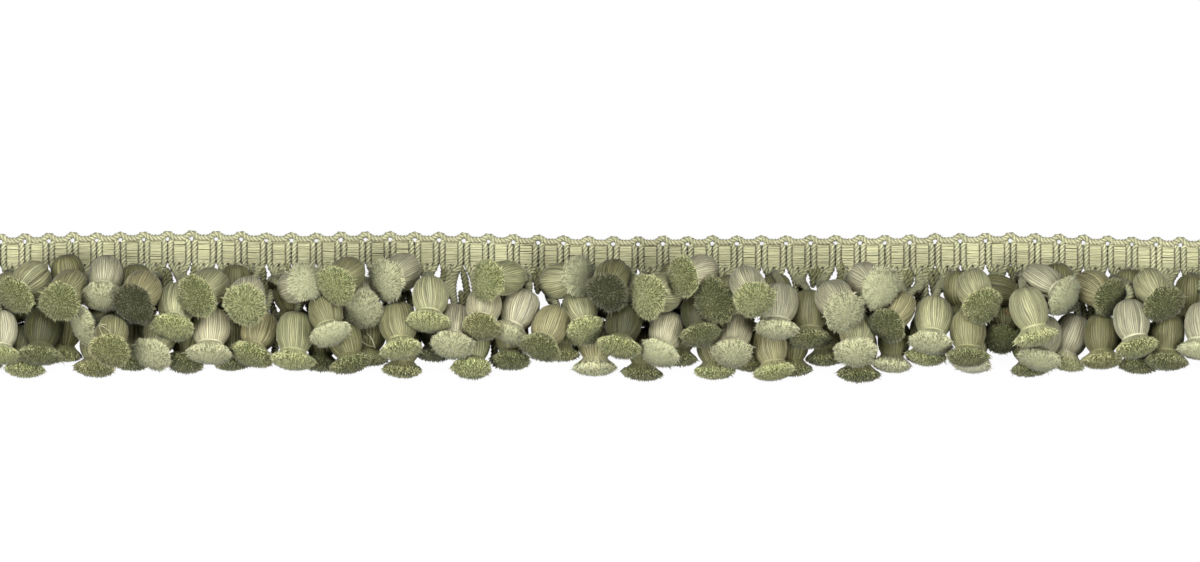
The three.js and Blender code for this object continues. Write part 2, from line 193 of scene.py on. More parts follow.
MIDDLE_ROWS = [
    Row(-209, -26, 0, 20, 98, Bulb.LIGHT, Pile.GREEN),
    Row(-197, -26, -4, 20, 104, Bulb.DEEP, Pile.DARK),
    Row(-171, -28, -5, 52, 98, Bulb.MID, Pile.OLIVE),
    Row(-174, -23, -72, 34, 96, Bulb.DEEP, Pile.LIGHT),
    Row(-155, -29, -22, 46, 98, Bulb.SAGE, Pile.LIGHT),
    Row(-149, -17, -8, 34, 104, Bulb.SAGE, Pile.GREEN),
    Row(-136, -26, -2, 26, 104, Bulb.CREAM, Pile.LIGHT),
    Row(-120, -28, -18, 28, 104, Bulb.BROWN, Pile.MID),
    Row(-107, -27, -5, 16, 106, Bulb.BRIGHT, Pile.BRIGHT),
    Row(-96, -21, 13, 32, 98, Bulb.MID, Pile.SMOOTH),
    Row(-75, -25, 7, 22, 104, Bulb.MID, Pile.BRIGHT),
    Row(-64, -17, -4, 26, 102, Bulb.SAGE, Pile.BRIGHT),
    Row(-50, -23, -4, 40, 102, Bulb.LIGHT, Pile.LIGHT),
    Row(-40, -19, -6, 38, 98, Bulb.CREAM, Pile.OLIVE),
    Row(-28, -21, -25, 18, 102, Bulb.LIGHT, Pile.LIGHT),
    Row(-16, -24, -24, 32, 104, Bulb.BROWN, Pile.DARK),
    Row(-6, -21, 18, 40, 98, Bulb.SAGE, Pile.BRIGHT),
    Row(8, -24, -11, 26, 102, Bulb.DEEP, Pile.MID),
    Row(21, -27, -20, 34, 102, Bulb.CREAM, Pile.SMOOTH),
    Row(32, -21, 8, 32, 96, Bulb.DEEP, Pile.DARK),
    Row(46, -27, -4, 38, 102, Bulb.CREAM, Pile.LIGHT),
    Row(62, -18, -6, 22, 102, Bulb.GREY, Pile.LIGHT),
    Row(61, -31, 8, 14, 100, Bulb.BROWN, Pile.GREEN),
    Row(72, -21, 2, 18, 106, Bulb.MID, Pile.DARK),
    Row(89, -28, -2, 44, 102, Bulb.SAGE, Pile.LIGHT),
    Row(115, -23, -5, 28, 106, Bulb.SAGE, Pile.LIGHT),
    Row(126, -26, 0, 18, 102, Bulb.MID, Pile.DARK),
    Row(149, -20, 15, 8, 108, Bulb.SAGE, Pile.BRIGHT),
    Row(154, -29, -12, 28, 100, Bulb.GREY, Pile.SMOOTH),
    Row(165, -26, -18, 6, 104, Bulb.LIGHT, Pile.BRIGHT),
    Row(174, -28, 2, 14, 98, Bulb.DARK, Pile.OLIVE),
    Row(185, -23, 12, 18, 106, Bulb.GREY, Pile.MID),
    Row(199, -26, -3, 14, 104, Bulb.DARK, Pile.DARK),
    Row(209, -26, -5, 18, 104, Bulb.GREY, Pile.SMOOTH),
]

FRONT_ROWS = [
    Row(-200, -11, -46, 40, 104, Bulb.SAGE, Pile.MID),
    Row(-185, -14, -33, 56, 104, Bulb.MID, Pile.MID),
    Row(-173, -8, -5, 44, 104, Bulb.GREY, Pile.LIGHT),
    Row(-160, -14, -31, 56, 106, Bulb.BROWN, Pile.DEEP),
    Row(-139, -13, -51, 56, 106, Bulb.SAGE, Pile.MID),
    Row(-124, -15, -10, 72, 106, Bulb.LIGHT, Pile.BRIGHT),
    Row(-107, -12, 110, 64, 98, Bulb.GREY, Pile.SMOOTH),
    Row(-89, -8, -43, 58, 100, Bulb.MID, Pile.GREEN),
    Row(-83, -15, -3, 62, 106, Bulb.GREY, Pile.LIGHT),
    Row(-70, -8, -62, 54, 104, Bulb.GREY, Pile.LIGHT),
    Row(-34, -10, -80, 50, 102, Bulb.BRIGHT, Pile.GREEN),
    Row(-15, -11, 102, 46, 104, Bulb.SAGE, Pile.SMOOTH),
    Row(4, -9, -20, 58, 104, Bulb.DARK, Pile.DEEP),
    Row(22, -14, -75, 54, 108, Bulb.SAGE, Pile.BRIGHT),
    Row(36, -9, -78, 48, 98, Bulb.LIGHT, Pile.MID),
    Row(44, -14, -70, 58, 112, Bulb.MID, Pile.DARK),
    Row(50, -12, 25, 56, 102, Bulb.GREY, Pile.BRIGHT),
    Row(82, -16, 35, 58, 106, Bulb.GREY, Pile.LIGHT),
    Row(92, -13, 65, 60, 106, Bulb.LIGHT, Pile.SMOOTH),
    Row(106, -19, -34, 44, 98, Bulb.BROWN, Pile.DARK),
    Row(130, -13, 23, 48, 102, Bulb.SAGE, Pile.MID),
    Row(154, -11, 60, 30, 106, Bulb.GREY, Pile.SMOOTH),
    Row(171, -14, 62, 44, 102, Bulb.BROWN, Pile.DARK),
    Row(192, -13, 35, 48, 104, Bulb.SAGE, Pile.DARK),
]

ROWS = {Layer.BACK: BACK_ROWS, Layer.MIDDLE: MIDDLE_ROWS, Layer.FRONT: FRONT_ROWS}


def solid(layer: Layer, number: int) -> str:
    """The solid that a layer's tassel of that number is in; the back layer's are in the heading."""
    return "heading" if layer is Layer.BACK else f"tassel_{layer.name.lower()}_{number + 1:02d}"


# ---------------------------------------------------------------- node maths


class Wire:
    """One socket in a material, with the operators that add Math nodes."""

    def __init__(self, bench: "Bench", socket: bpy.types.NodeSocket) -> None:
        """Holds one value.

        Args:
            bench: the material's node maker.
            socket: the output that the value comes from.
        """
        self.bench, self.socket = bench, socket

    def _maths(self, operation: str, *values: "Wire | float") -> "Wire":
        """A Math node on these values.

        Args:
            operation: the node's operation.
            values: its inputs, in order.
        Returns:
            The node's value.
        """
        return self.bench.node("ShaderNodeMath", {"operation": operation}, dict(enumerate(values)))

    def __add__(self, other: "Wire | float") -> "Wire":
        """self + other."""
        return self._maths("ADD", self, other)

    __radd__ = __add__

    def __sub__(self, other: "Wire | float") -> "Wire":
        """self - other."""
        return self._maths("SUBTRACT", self, other)

    def __rsub__(self, other: "Wire | float") -> "Wire":
        """other - self."""
        return self._maths("SUBTRACT", other, self)

    def __mul__(self, other: "Wire | float") -> "Wire":
        """self * other."""
        return self._maths("MULTIPLY", self, other)

    __rmul__ = __mul__


class Bench:
    """A material and the one way its nodes are made."""

    def __init__(self, name: str) -> None:
        """Starts an empty material.

        Args:
            name: the material's name.
        """
        self.material = bpy.data.materials.new(name)
        self.material.use_nodes = True
        self.tree = self.material.node_tree
        self.tree.nodes.clear()

    def node(
        self,
        kind: str,
        settings: dict[str, object] | None = None,
        inputs: dict[str | int, object] | None = None,
        output: str | int = 0,
    ) -> Wire:
        """Adds one node.

        Args:
            kind: the node's type.
            settings: its own settings, set before its sockets.
            inputs: a value or a Wire for each socket named.
            output: the socket that the returned Wire stands for.
        Returns:
            That output.
        """
        made = self.tree.nodes.new(kind)
        for key, value in (settings or {}).items():
            setattr(made, key, value)
        for key, value in (inputs or {}).items():
            if isinstance(value, Wire):
                self.tree.links.new(value.socket, made.inputs[key])
            else:
                made.inputs[key].default_value = value
        return Wire(self, made.outputs[output] if len(made.outputs) else None)

    def attribute(self, name: str, output: str) -> Wire:
        """The mesh's attribute of that name, through that output."""
        return self.node("ShaderNodeAttribute", {"attribute_name": name}, output=output)

    def noise(self, where: Wire, scale: float, detail: float, roughness: float = 0.5) -> Wire:
        """Noise from 0 to 1.

        Args:
            where: the point to read it at.
            scale: how many lumps fit in one unit of where.
            detail: how many finer layers it has.
            roughness: how strong those are.
        Returns:
            The noise.
        """
        return self.node(
            "ShaderNodeTexNoise",
            {"noise_dimensions": "3D"},
            {"Vector": where, "Scale": scale, "Detail": detail, "Roughness": roughness},
            "Fac",
        )

    def between(self, value: Wire, low: float, high: float) -> Wire:
        """A smooth step from 0 to 1.

        Args:
            value: what it follows.
            low: the value up to which it is 0.
            high: the value from which it is 1.
        Returns:
            The step.
        """
        return self.node(
            "ShaderNodeMapRange",
            {"interpolation_type": "SMOOTHSTEP"},
            {"Value": value, "From Min": low, "From Max": high},
        )

    def scaled(self, vector: Wire, by: Wire | float) -> Wire:
        """A colour or vector times one number."""
        return self.node("ShaderNodeVectorMath", {"operation": "SCALE"}, {"Vector": vector, "Scale": by})

    def times(self, vector: Wire, other: tuple[float, float, float]) -> Wire:
        """A colour or vector times another, channel by channel."""
        return self.node("ShaderNodeVectorMath", {"operation": "MULTIPLY"}, {0: vector, 1: other})

    def blend(self, factor: Wire, a: Wire, b: Wire) -> Wire:
        """Colour a where factor is 0, b where it is 1; the Mix node's colour sockets are 6 and 7."""
        return self.node("ShaderNodeMix", {"data_type": "RGBA"}, {0: factor, 6: a, 7: b}, 2)

    def bump(self, height: Wire, depth: float, strength: float) -> Wire:
        """A normal bent by height, depth in metres."""
        settings = {"Height": height, "Distance": depth, "Strength": strength}
        return self.node("ShaderNodeBump", {}, settings, "Normal")

    def surface(self, **inputs: object) -> bpy.types.Material:
        """Closes the material with one Principled shader.

        Args:
            inputs: a value or a Wire for each of its sockets, named with _ for a space.
        Returns:
            The material.
        """
        sockets = {key.replace("_", " "): value for key, value in inputs.items()}
        shader = self.node("ShaderNodeBsdfPrincipled", {}, sockets)
        self.node("ShaderNodeOutputMaterial", {}, {"Surface": shader})
        return self.material


@dataclass(frozen=True)
class Floss:
    """Satin rayon floss or cord: fine lines run along every strand."""

    name: str
    lines: float = 1.9  # fibre lines a millimetre
    contrast: float = 0.6  # how much the fibre lines differ in brightness
    mottle: float = 0.08  # how much broader patches differ in it
    hollow: float = 0.25  # painted shade: the brightness in the yarn's hollows
    roughness: float = 0.5
    sheen: float = 0.1
    relief: float = 0.00016  # the height of the fibres, in metres

    def material(self) -> bpy.types.Material:
        """The finish as a material.

        Returns:
            The material, which reads a mesh's tint and lie.
        """
        bench = Bench(self.name)
        lie = bench.attribute("lie", "Vector")
        fine = bench.noise(lie, self.lines, 3.0, 0.75)
        broad = bench.noise(lie, self.lines * 0.22, 1.0)
        line = bench.between(fine, 0.3, 0.7)
        shade = line * self.contrast + broad * self.mottle + (1 - (self.contrast + self.mottle) / 2)
        # painted shade: the tint's alpha darkens the yarn down to hollow where it is 0
        light = bench.attribute("tint", "Alpha") * (1 - self.hollow) + self.hollow
        colour = bench.scaled(bench.attribute("tint", "Color"), shade * light)
        return bench.surface(
            Base_Color=colour,
            Roughness=self.roughness + fine * 0.2,
            Normal=bench.bump(fine, self.relief, 0.7),
            Sheen_Weight=self.sheen,
            Sheen_Roughness=0.4,
            Specular_IOR_Level=0.35,
        )


@dataclass(frozen=True)
class CutPile:
    """The cut ends of a brush: dark with painted shade between the fibres, light at their tips."""

    name: str
    depth: float = 0.24  # painted shade: the brightness between the fibres, of that at the tips
    fibres: float = 2.0  # a millimetre
    stipple: float = 0.5
    sheen: float = 0.12
    relief: float = 0.00025

    def material(self) -> bpy.types.Material:
        """The finish as a material.

        Returns:
            The material, which reads a mesh's tint and lie.
        """
        bench = Bench(self.name)
        lie = bench.attribute("lie", "Vector")
        fine = bench.noise(lie, self.fibres, 2.0, 0.6)
        speck = bench.between(fine, 0.34, 0.66)
        worn = bench.noise(lie, self.fibres * 0.3, 1.0)
        hollow = bench.attribute("tint", "Alpha")
        tip = bench.between(hollow + (speck - 0.5) * self.stipple, 0.1, 0.8)
        tint = bench.attribute("tint", "Color")
        # painted shade: the colour between the fibres, darker and greener than the tips
        low = bench.times(tint, (self.depth * 0.95, self.depth * 1.04, self.depth * 0.72))
        high = bench.scaled(tint, worn * 0.3 + speck * 0.12 + 0.92)
        return bench.surface(
            Base_Color=bench.blend(tip, low, high),
            Roughness=speck * 0.15 + 0.72,
            Normal=bench.bump(fine, self.relief, 0.8),
            Sheen_Weight=self.sheen,
            Sheen_Roughness=0.5,
            Specular_IOR_Level=0.2,
        )


# ------------------------------------------------------------------ meshing


def circle(sides: int) -> np.ndarray:
    """The angles of that many points evenly round a circle."""
    return np.arange(sides) * TURN / sides


def rings(around: np.ndarray, first: np.ndarray, second: np.ndarray) -> np.ndarray:
    """A ring of offsets for every point of a line.

    Args:
        around: the ring's angles.
        first: the offset at angle 0, for each point.
        second: the offset a quarter turn on, for each point.
    Returns:
        points x angles x 3.
    """
    return np.cos(around)[None, :, None] * first[:, None] + np.sin(around)[None, :, None] * second[:, None]


def strand_lie(
    radius: float, around: np.ndarray, along: np.ndarray, rng: np.random.Generator
) -> np.ndarray:
    """The lie of fibres that run along a tube.

    Args:
        radius: how finely they differ round it.
        around: the angles of its rings' points.
        along: how far each ring is along the fibres.
        rng: for where they start.
    Returns:
        rings x angles x 3.
    """
    start = rng.uniform(0, LIE_SPREAD)
    return np.stack(np.broadcast_arrays(
        radius * np.cos(around)[None], radius * np.sin(around)[None], along[:, None] + start), -1)


def net(rows: int, columns: int) -> np.ndarray:
    """Triangles over a tube of points.

    Args:
        rows: how many rings.
        columns: points in each ring, which closes on itself.
    Returns:
        Indices, three a triangle, facing out where the rings turn right-handed about the way they run.
    """
    i, j = np.meshgrid(np.arange(rows - 1), np.arange(columns), indexing="ij")
    k = (j + 1) % columns
    a, b = i * columns + j, i * columns + k
    c, d = (i + 1) * columns + k, (i + 1) * columns + j
    return np.stack([np.stack([a, b, c], -1), np.stack([a, c, d], -1)], 2).reshape(-1, 3)


class Skein:
    """Points and triangles gathered for one piece, with the tint and the lie of the yarn at every point."""

    def __init__(self) -> None:
        """Starts with nothing."""
        self.points: list[np.ndarray] = []
        self.faces: list[np.ndarray] = []
        self.tints: list[np.ndarray] = []
        self.lies: list[np.ndarray] = []
        self.finishes: list[np.ndarray] = []
        self.owners: list[np.ndarray] = []
        self.count = 0

    def add(
        self,
        points: np.ndarray,
        faces: np.ndarray,
        tint: np.ndarray,
        tip: np.ndarray,
        lie: np.ndarray,
        finish: int = 0,
        owner: int = -1,
    ) -> None:
        """Adds copies of one net.

        Args:
            points: copies x points x 3, in millimetres.
            faces: the net's triangles.
            tint: linear colours, spread over the points.
            tip: painted shade, 1 at the outside of the yarn to 0 in its hollows, spread over the points.
            lie: the fibre direction's own coordinates, spread over the points.
            finish: which of the piece's materials it takes.
            owner: the tassel that it is part of.
        """
        copies, each = points.shape[:2]
        start = self.count + np.arange(copies)[:, None, None] * each
        self.points.append(points.reshape(-1, 3))
        self.faces.append((faces[None] + start).reshape(-1, 3))
        colour = np.empty((copies, each, 4))
        colour[..., :3] = tint
        colour[..., 3] = tip
        self.tints.append(colour.reshape(-1, 4))
        self.lies.append(np.broadcast_to(lie, (copies, each, 3)).reshape(-1, 3))
        self.finishes.append(np.full(copies * len(faces), finish))
        self.owners.append(np.full(copies * each, owner))
        self.count += copies * each

    def tube(
        self,
        grid: np.ndarray,
        tint: np.ndarray,
        tip: np.ndarray | float,
        lie: np.ndarray,
        finish: int = 0,
        owner: int = -1,
        left_handed: bool = False,
    ) -> None:
        """Adds one tube; what add is told for each point is here spread over rings x points.

        Args:
            grid: rings x points x 3, in millimetres.
            tint: as in add.
            tip: as in add.
            lie: as in add.
            finish: as in add.
            owner: as in add.
            left_handed: whether the rings turn left-handed about the way they run.
        """
        faces = net(*grid.shape[:2])
        self.add(
            grid.reshape(1, -1, 3), faces[:, ::-1] if left_handed else faces,
            np.broadcast_to(tint, grid.shape).reshape(1, -1, 3),
            np.broadcast_to(tip, grid.shape[:2]).reshape(1, -1),
            np.broadcast_to(lie, grid.shape).reshape(1, -1, 3), finish, owner)

    def piece(
        self,
        name: str,
        layer: Layer,
        finishes: list[bpy.types.Material],
        stands_for: list[str],
        shelter: "Shelter | None" = None,
    ) -> bpy.types.Object:
        """Makes the piece.

        Args:
            name: its name.
            layer: not used.
            finishes: its materials.
            stands_for: the solids that it replaces.
            shelter: what keeps the light from it, if anything does.
        Returns:
            The object, riding on the trim.
        """
        points = np.concatenate(self.points) * METRE
        points[:, 2] = np.maximum(points[:, 2], 0)
        faces = np.concatenate(self.faces).astype(np.int32)
        mesh = bpy.data.meshes.new(name)
        mesh.vertices.add(len(points))
        mesh.vertices.foreach_set("co", points.astype(np.float32).ravel())
        mesh.loops.add(faces.size)
        mesh.loops.foreach_set("vertex_index", faces.ravel())
        mesh.polygons.add(len(faces))
        mesh.polygons.foreach_set("loop_start", np.arange(0, faces.size, 3, dtype=np.int32))
        for finish in finishes:
            mesh.materials.append(finish)
        mesh.polygons.foreach_set("material_index", np.concatenate(self.finishes).astype(np.int32))
        lie = mesh.attributes.new("lie", "FLOAT_VECTOR", "POINT")
        lie.data.foreach_set("vector", np.concatenate(self.lies).astype(np.float32).ravel())
        mesh.update(calc_edges=True)
        mesh.shade_smooth()
        normals = np.empty(points.size, np.float32)
        mesh.vertex_normals.foreach_get("vector", normals)
        tints = np.concatenate(self.tints)
        if shelter:
            # painted shade: the tint is darkened by the light that the tassels keep off
            tints[:, :3] *= shelter.light(points / METRE, normals.reshape(-1, 3), np.concatenate(self.owners))
        tint = mesh.attributes.new("tint", "FLOAT_COLOR", "POINT")
        tint.data.foreach_set("color", tints.astype(np.float32).ravel())
        made = bpy.data.objects.new(name, mesh)
        bpy.context.scene.collection.objects.link(made)
        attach(made, BODY)
        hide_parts(*stands_for)
        log.info("%s: %d triangles", name, len(faces))
        return made


def unit(vectors: np.ndarray) -> np.ndarray:
    """Each vector at length 1."""
    return vectors / np.maximum(np.linalg.norm(vectors, axis=-1, keepdims=True), 1e-9)


def even(path: np.ndarray, step: float) -> np.ndarray:
    """The same line with its points a step apart.

    Args:
        path: points along the line.
        step: the distance wanted between points.
    Returns:
        The new points, with both ends kept.
    """
    run = np.concatenate([[0], np.cumsum(np.linalg.norm(np.diff(path, axis=0), axis=1))])
    at = np.linspace(0, run[-1], max(3, int(round(run[-1] / step)) + 1))
    return np.stack([np.interp(at, run, path[:, k]) for k in range(3)], 1)


def frames(path: np.ndarray) -> tuple[np.ndarray, np.ndarray]:
    """Two directions across a line that turn as little as they can along it.

    Args:
        path: points along the line.
    Returns:
        The two directions at every point.
    """
    along = unit(np.gradient(path, axis=0))
    side = np.empty_like(along)
    last = np.cross(along[0], [0.0, 0.0, 1.0])
    if np.linalg.norm(last) < 0.1:
        last = np.array([1.0, 0.0, 0.0])
    for i, t in enumerate(along):
        last = last - t * (last @ t)
        last = last / np.linalg.norm(last)
        side[i] = last
    return side, np.cross(along, side)


@dataclass(frozen=True)
class Cord:
    """A twisted cord of three soft plies pressed together."""

    plies: int = 3
    offset: float = 0.56  # of each ply's middle from the cord's
    thick: float = 0.6  # half a ply, out from the cord's middle
    wide: float = 0.78  # half a ply, round the cord
    lay: float = 4.3  # one full turn of the twist
    sides: int = 4  # of each ply
    step: float = 0.4  # from one ring of points to the next
    dusk: float = 0.25  # the least light that its flanks get
    pinch: float = 0.1  # how thick its very ends are

    def sweep(
        self,
        skein: Skein,
        path: np.ndarray,
        tint: np.ndarray,
        rng: np.random.Generator,
        scale: np.ndarray | float = 1.0,
    ) -> None:
        """Lays the cord along a line.

        Args:
            skein: where it goes.
            path: the line, in millimetres.
            tint: its colour, or one for every point of the line.
            rng: for its twist's start and its lie.
            scale: its thickness, of the usual, or one for every point.
        """
        before = len(path)
        path = even(path, self.step)
        n = len(path)
        old, new = np.linspace(0, 1, before), np.linspace(0, 1, n)
        tints = np.stack([np.interp(new, old, c) for c in np.broadcast_to(tint, (before, 3)).T], 1)
        fat = np.interp(new, old, np.broadcast_to(scale, before))
        side, up = frames(path)
        run = np.arange(n) * self.step
        start = rng.uniform(0, TURN)
        around = circle(self.sides)
        end = np.ones(n)
        end[[0, -1]] = self.pinch
        inward = np.clip(0.5 + 0.5 * np.cos(around), 0, 1)
        for ply in range(self.plies):
            turn = (run / self.lay + ply / self.plies) * TURN + start
            out = np.cos(turn)[:, None] * side + np.sin(turn)[:, None] * up
            across = -np.sin(turn)[:, None] * side + np.cos(turn)[:, None] * up
            ring = rings(around, self.thick * out, self.wide * across) * end[:, None, None]
            grid = path[:, None] + (out[:, None] * self.offset + ring) * fat[:, None, None]
            lie = strand_lie(0.7, around, run * 0.2, rng)
            shade = rng.uniform(0.93, 1.06)
            high = (grid[..., 2] - path[:, None, 2]) / fat[:, None]
            # painted shade: each ply darker on the side that faces the cord's middle, and lower down its
            # flanks, to dusk at the least
            tip = inward * np.clip(0.58 + 0.65 * high, self.dusk, 1)
            skein.tube(grid, tints[:, None] * shade, tip, lie, left_handed=True)


# ------------------------------------------------------------------ heading


class Drift:
    """How far the heading wanders from a straight line, as in the solids but drawn a little finer."""

    RISE = (-0.2, 0.5, 0.9, 0.3, 0.6, -0.1, -0.9, -0.8, -0.6, -0.45, 0.25, -0.7, -1.4)
    CREEP = (0.85, -0.1, -1.3, -0.8, -0.8, -0.8, -0.3, -0.1, -0.1, 0, 0.75, 0.35, -0.15)
    REACH = 210

    @classmethod
    def _spline(cls, values: tuple[float, ...], x: np.ndarray) -> np.ndarray:
        """A Catmull-Rom line through values set evenly from -REACH to REACH.

        Args:
            values: what it passes through.
            x: where to read it.
        Returns:
            Its height at each place.
        """
        v = np.array(values, float)
        last = len(v) - 1
        t = np.clip((np.asarray(x, float) + cls.REACH) / (2 * cls.REACH), 0, 1) * last
        i = np.minimum(t.astype(int), last)
        w = t - i
        p0, p1 = v[np.maximum(i - 1, 0)], v[i]
        p2, p3 = v[np.minimum(i + 1, last)], v[np.minimum(i + 2, last)]
        a, b = (p2 - p0) / 2, (p3 - p1) / 2
        return (2 * p1 - 2 * p2 + a + b) * w**3 + (3 * p2 - 3 * p1 - 2 * a - b) * w**2 + a * w + p1

    @classmethod
    def move(cls, points: np.ndarray) -> np.ndarray:
        """Moves points as the heading wanders.

        Args:
            points: on a straight heading.
        Returns:
            The same points on this one.
        """
        moved = np.array(points, float)
        moved[..., 0] += cls._spline(cls.CREEP, points[..., 0])
        moved[..., 1] += cls._spline(cls.RISE, points[..., 0])
        return moved


def block_x(repeat: int | np.ndarray) -> float | np.ndarray:
    """The middle of a block before the heading wanders."""
    return (repeat - (REPEATS - 1) / 2) * PITCH


@dataclass
class FlossBlocks:
    """The panels of horizontal floss between the upright cords."""

    threads: int = 14
    top: float = 3.2
    bottom: float = -4.6
    half_width: float = 2.95
    half_thread: float = 0.38
    pair_half: float = 1.3  # half the width of the backing behind a pair of cords
    pair_bottom: float = -4.9
    height: float = 0.78  # half a thread's thickness, off the table
    middle: float = 0.9  # how high a thread's middle lies
    sides: int = 5
    stations: tuple[float, ...] = (-1, -0.73, -0.63, -0.42, 0, 0.42, 0.63, 0.73, 1)  # of half its length
    tuck: float = 0.72  # where along that a thread starts to dive under the cord beside it
    dive: float = 0.35  # how deep it dives, and how much thinner it gets
    stray: float = 0.05  # how far a thread strays from its even place
    bow: float = 0.07  # how far its middle bows up or down the heading
    below: float = 0.9  # how much further down than its threads a block's backing reaches
    tint: np.ndarray = field(default_factory=lambda: linear(185, 184, 145))

    def build(self, rng: np.random.Generator) -> Skein:
        """The blocks' threads.

        Args:
            rng: for the threads' unevenness.
        Returns:
            Them all.
        """
        skein = Skein()
        for repeat in range(REPEATS):
            for thread in range(self.threads):
                y = self.top + (self.bottom - self.top) * (thread + 0.5) / self.threads
                self._thread(skein, block_x(repeat), y + rng.normal(0, self.stray), rng)
            self._backing(skein, block_x(repeat), self.half_width, self.bottom - self.below)
        for pair in range(REPEATS - 1):
            self._backing(skein, block_x(pair) + PITCH / 2, self.pair_half, self.pair_bottom)
        return skein

    def _thread(self, skein: Skein, x: float, y: float, rng: np.random.Generator) -> None:
        """One thread across a block.

        Args:
            skein: where it goes.
            x: its middle along the heading.
            y: how far up the heading it lies.
            rng: for its unevenness.
        """
        along = np.array(self.stations)
        around = circle(self.sides) + 0.5
        bow = rng.normal(0, self.bow) * (1 - along**2) + rng.normal(0, self.stray) * along
        dive = self.dive * np.clip((np.abs(along) - self.tuck) / (1 - self.tuck), 0, 1) ** 2
        high = self.middle + rng.normal(0, self.stray) - dive
        centre = np.stack([x + along * self.half_width, y + bow, high], 1)
        fat = ((1 - dive) * rng.uniform(0.92, 1.1))[:, None]
        ring = rings(around, fat * np.array([0, self.half_thread, 0]), fat * np.array([0, 0, self.height]))
        lie = strand_lie(0.9, around, along * 0.5, rng)
        # painted shade: each thread darker along its sides, between the threads
        tip = np.clip(np.abs(np.sin(around)) * 1.3 - 0.2, 0.08, 1)
        # painted shadow: the thread's ends darken where the cord beside it lies over them
        seam_shadow = np.clip((self.tuck - np.abs(along)) / 0.08, 0, 1)
        shade = rng.uniform(0.91, 1.14) * np.array([1, 1, rng.uniform(0.96, 1.04)])
        skein.tube(Drift.move(centre[:, None] + ring), self.tint * shade, seam_shadow[:, None] * tip[None], lie)

    def _backing(self, skein: Skein, x: float, half_width: float, bottom: float) -> None:
        """A flat of threads behind a block or a pair of cords, which closes it to the light; its darker tint
        is painted shade in the gaps between the threads.

        Args:
            skein: where it goes.
            x: its middle.
            half_width: half its width.
            bottom: its lower edge.
        """
        around = circle(8)
        across = x + np.linspace(-1, 1, 5) * half_width
        middle, half = (self.top + bottom) / 2, (self.top - bottom) / 2
        grid = Drift.move(np.stack(np.broadcast_arrays(
            across[:, None], middle + (half - 0.15) * np.cos(around), 0.4 + 0.25 * np.sin(around)), -1))
        # painted shade: the backing darker than the threads, showing in the gaps between them
        skein.tube(grid, self.tint * 0.7, 0.4, grid)


@dataclass
class PicotEdge:
    """The twisted cord along the top, low over each block and looped over each pair of cords."""

    low: float = 4.1  # how far up the heading it runs over a block
    rise: float = 1.3  # how much further up a loop goes
    uneven: float = 0.14  # how much the loops differ in that
    half_span: float = 1.75
    height: float = 1.62
    sway: float = 0.12  # how far it moves up from the table and down again from block to block
    thick: float = 1.12
    cord: Cord = Cord(lay=3.9, step=0.32, dusk=0.5)
    tint: np.ndarray = field(default_factory=lambda: linear(180, 179, 142))

    def build(self, rng: np.random.Generator) -> Skein:
        """The edge.

        Args:
            rng: for the loops' unevenness.
        Returns:
            The whole of it.
        """
        skein = Skein()
        pairs = block_x(np.arange(REPEATS + 1)) - PITCH / 2
        x = np.arange(pairs[0], pairs[-1], 0.1)
        lift = rng.normal(0, self.uneven, len(pairs))
        y = np.full_like(x, self.low)
        for middle, more in zip(pairs, lift):
            y += (self.rise + more) * np.exp(-(((x - middle) / self.half_span) ** 2) ** 1.25)
        z = self.height + self.sway * np.sin(x * TURN / PITCH)
        self.cord.sweep(skein, Drift.move(np.stack([x, y, z], 1)), self.tint, rng, self.thick)
        return skein


# ------------------------------------------------------------------ tassels


class Settled(NamedTuple):
    """A tassel where it lies in the heap."""

    row: Row
    layer: Layer
    centre: np.ndarray
    turn: np.ndarray
    number: int = -1

    def set_down(self, local: np.ndarray) -> np.ndarray:
        """Puts points where the tassel lies.

        Args:
            local: the points, in the tassel's own frame at its usual size.
        Returns:
            The points in the heap, none below the table.
        """
        points = self.centre + (local * (self.row.size / 100)) @ self.turn.T
        points[..., 2] = np.maximum(points[..., 2], TABLE_GAP)
        return points

    def place(self, radius: np.ndarray, angle: np.ndarray, along: np.ndarray) -> np.ndarray:
        """Points of the tassel's own round shape, in the heap.

        Args:
            radius: from its axis.
            angle: about its axis.
            along: from the bulb's middle towards the brush.
        Returns:
            The points.
        """
        around = radius * np.sin(angle), -along, radius * np.cos(angle)
        return self.set_down(np.stack(np.broadcast_arrays(*around), -1))

    def on_axis(self, along: float) -> np.ndarray:
        """The point that far along the axis."""
        return self.place(np.zeros(1), np.zeros(1), np.array([along]))[0]

    @property
    def axis(self) -> np.ndarray:
        """The direction from crown to brush."""
        return -self.turn[:, 1]


def turned(row: Row) -> np.ndarray:
    """How a row's tassel is turned.

    Args:
        row: the tassel.
    Returns:
        The rotation, first the nod and then the swing.
    """
    s, n = math.radians(row.swing), math.radians(row.nod)
    about_z = np.array([[math.cos(s), -math.sin(s), 0], [math.sin(s), math.cos(s), 0], [0, 0, 1]])
    about_x = np.array([[1, 0, 0], [0, math.cos(n), math.sin(n)], [0, -math.sin(n), math.cos(n)]])
    return about_z @ about_x


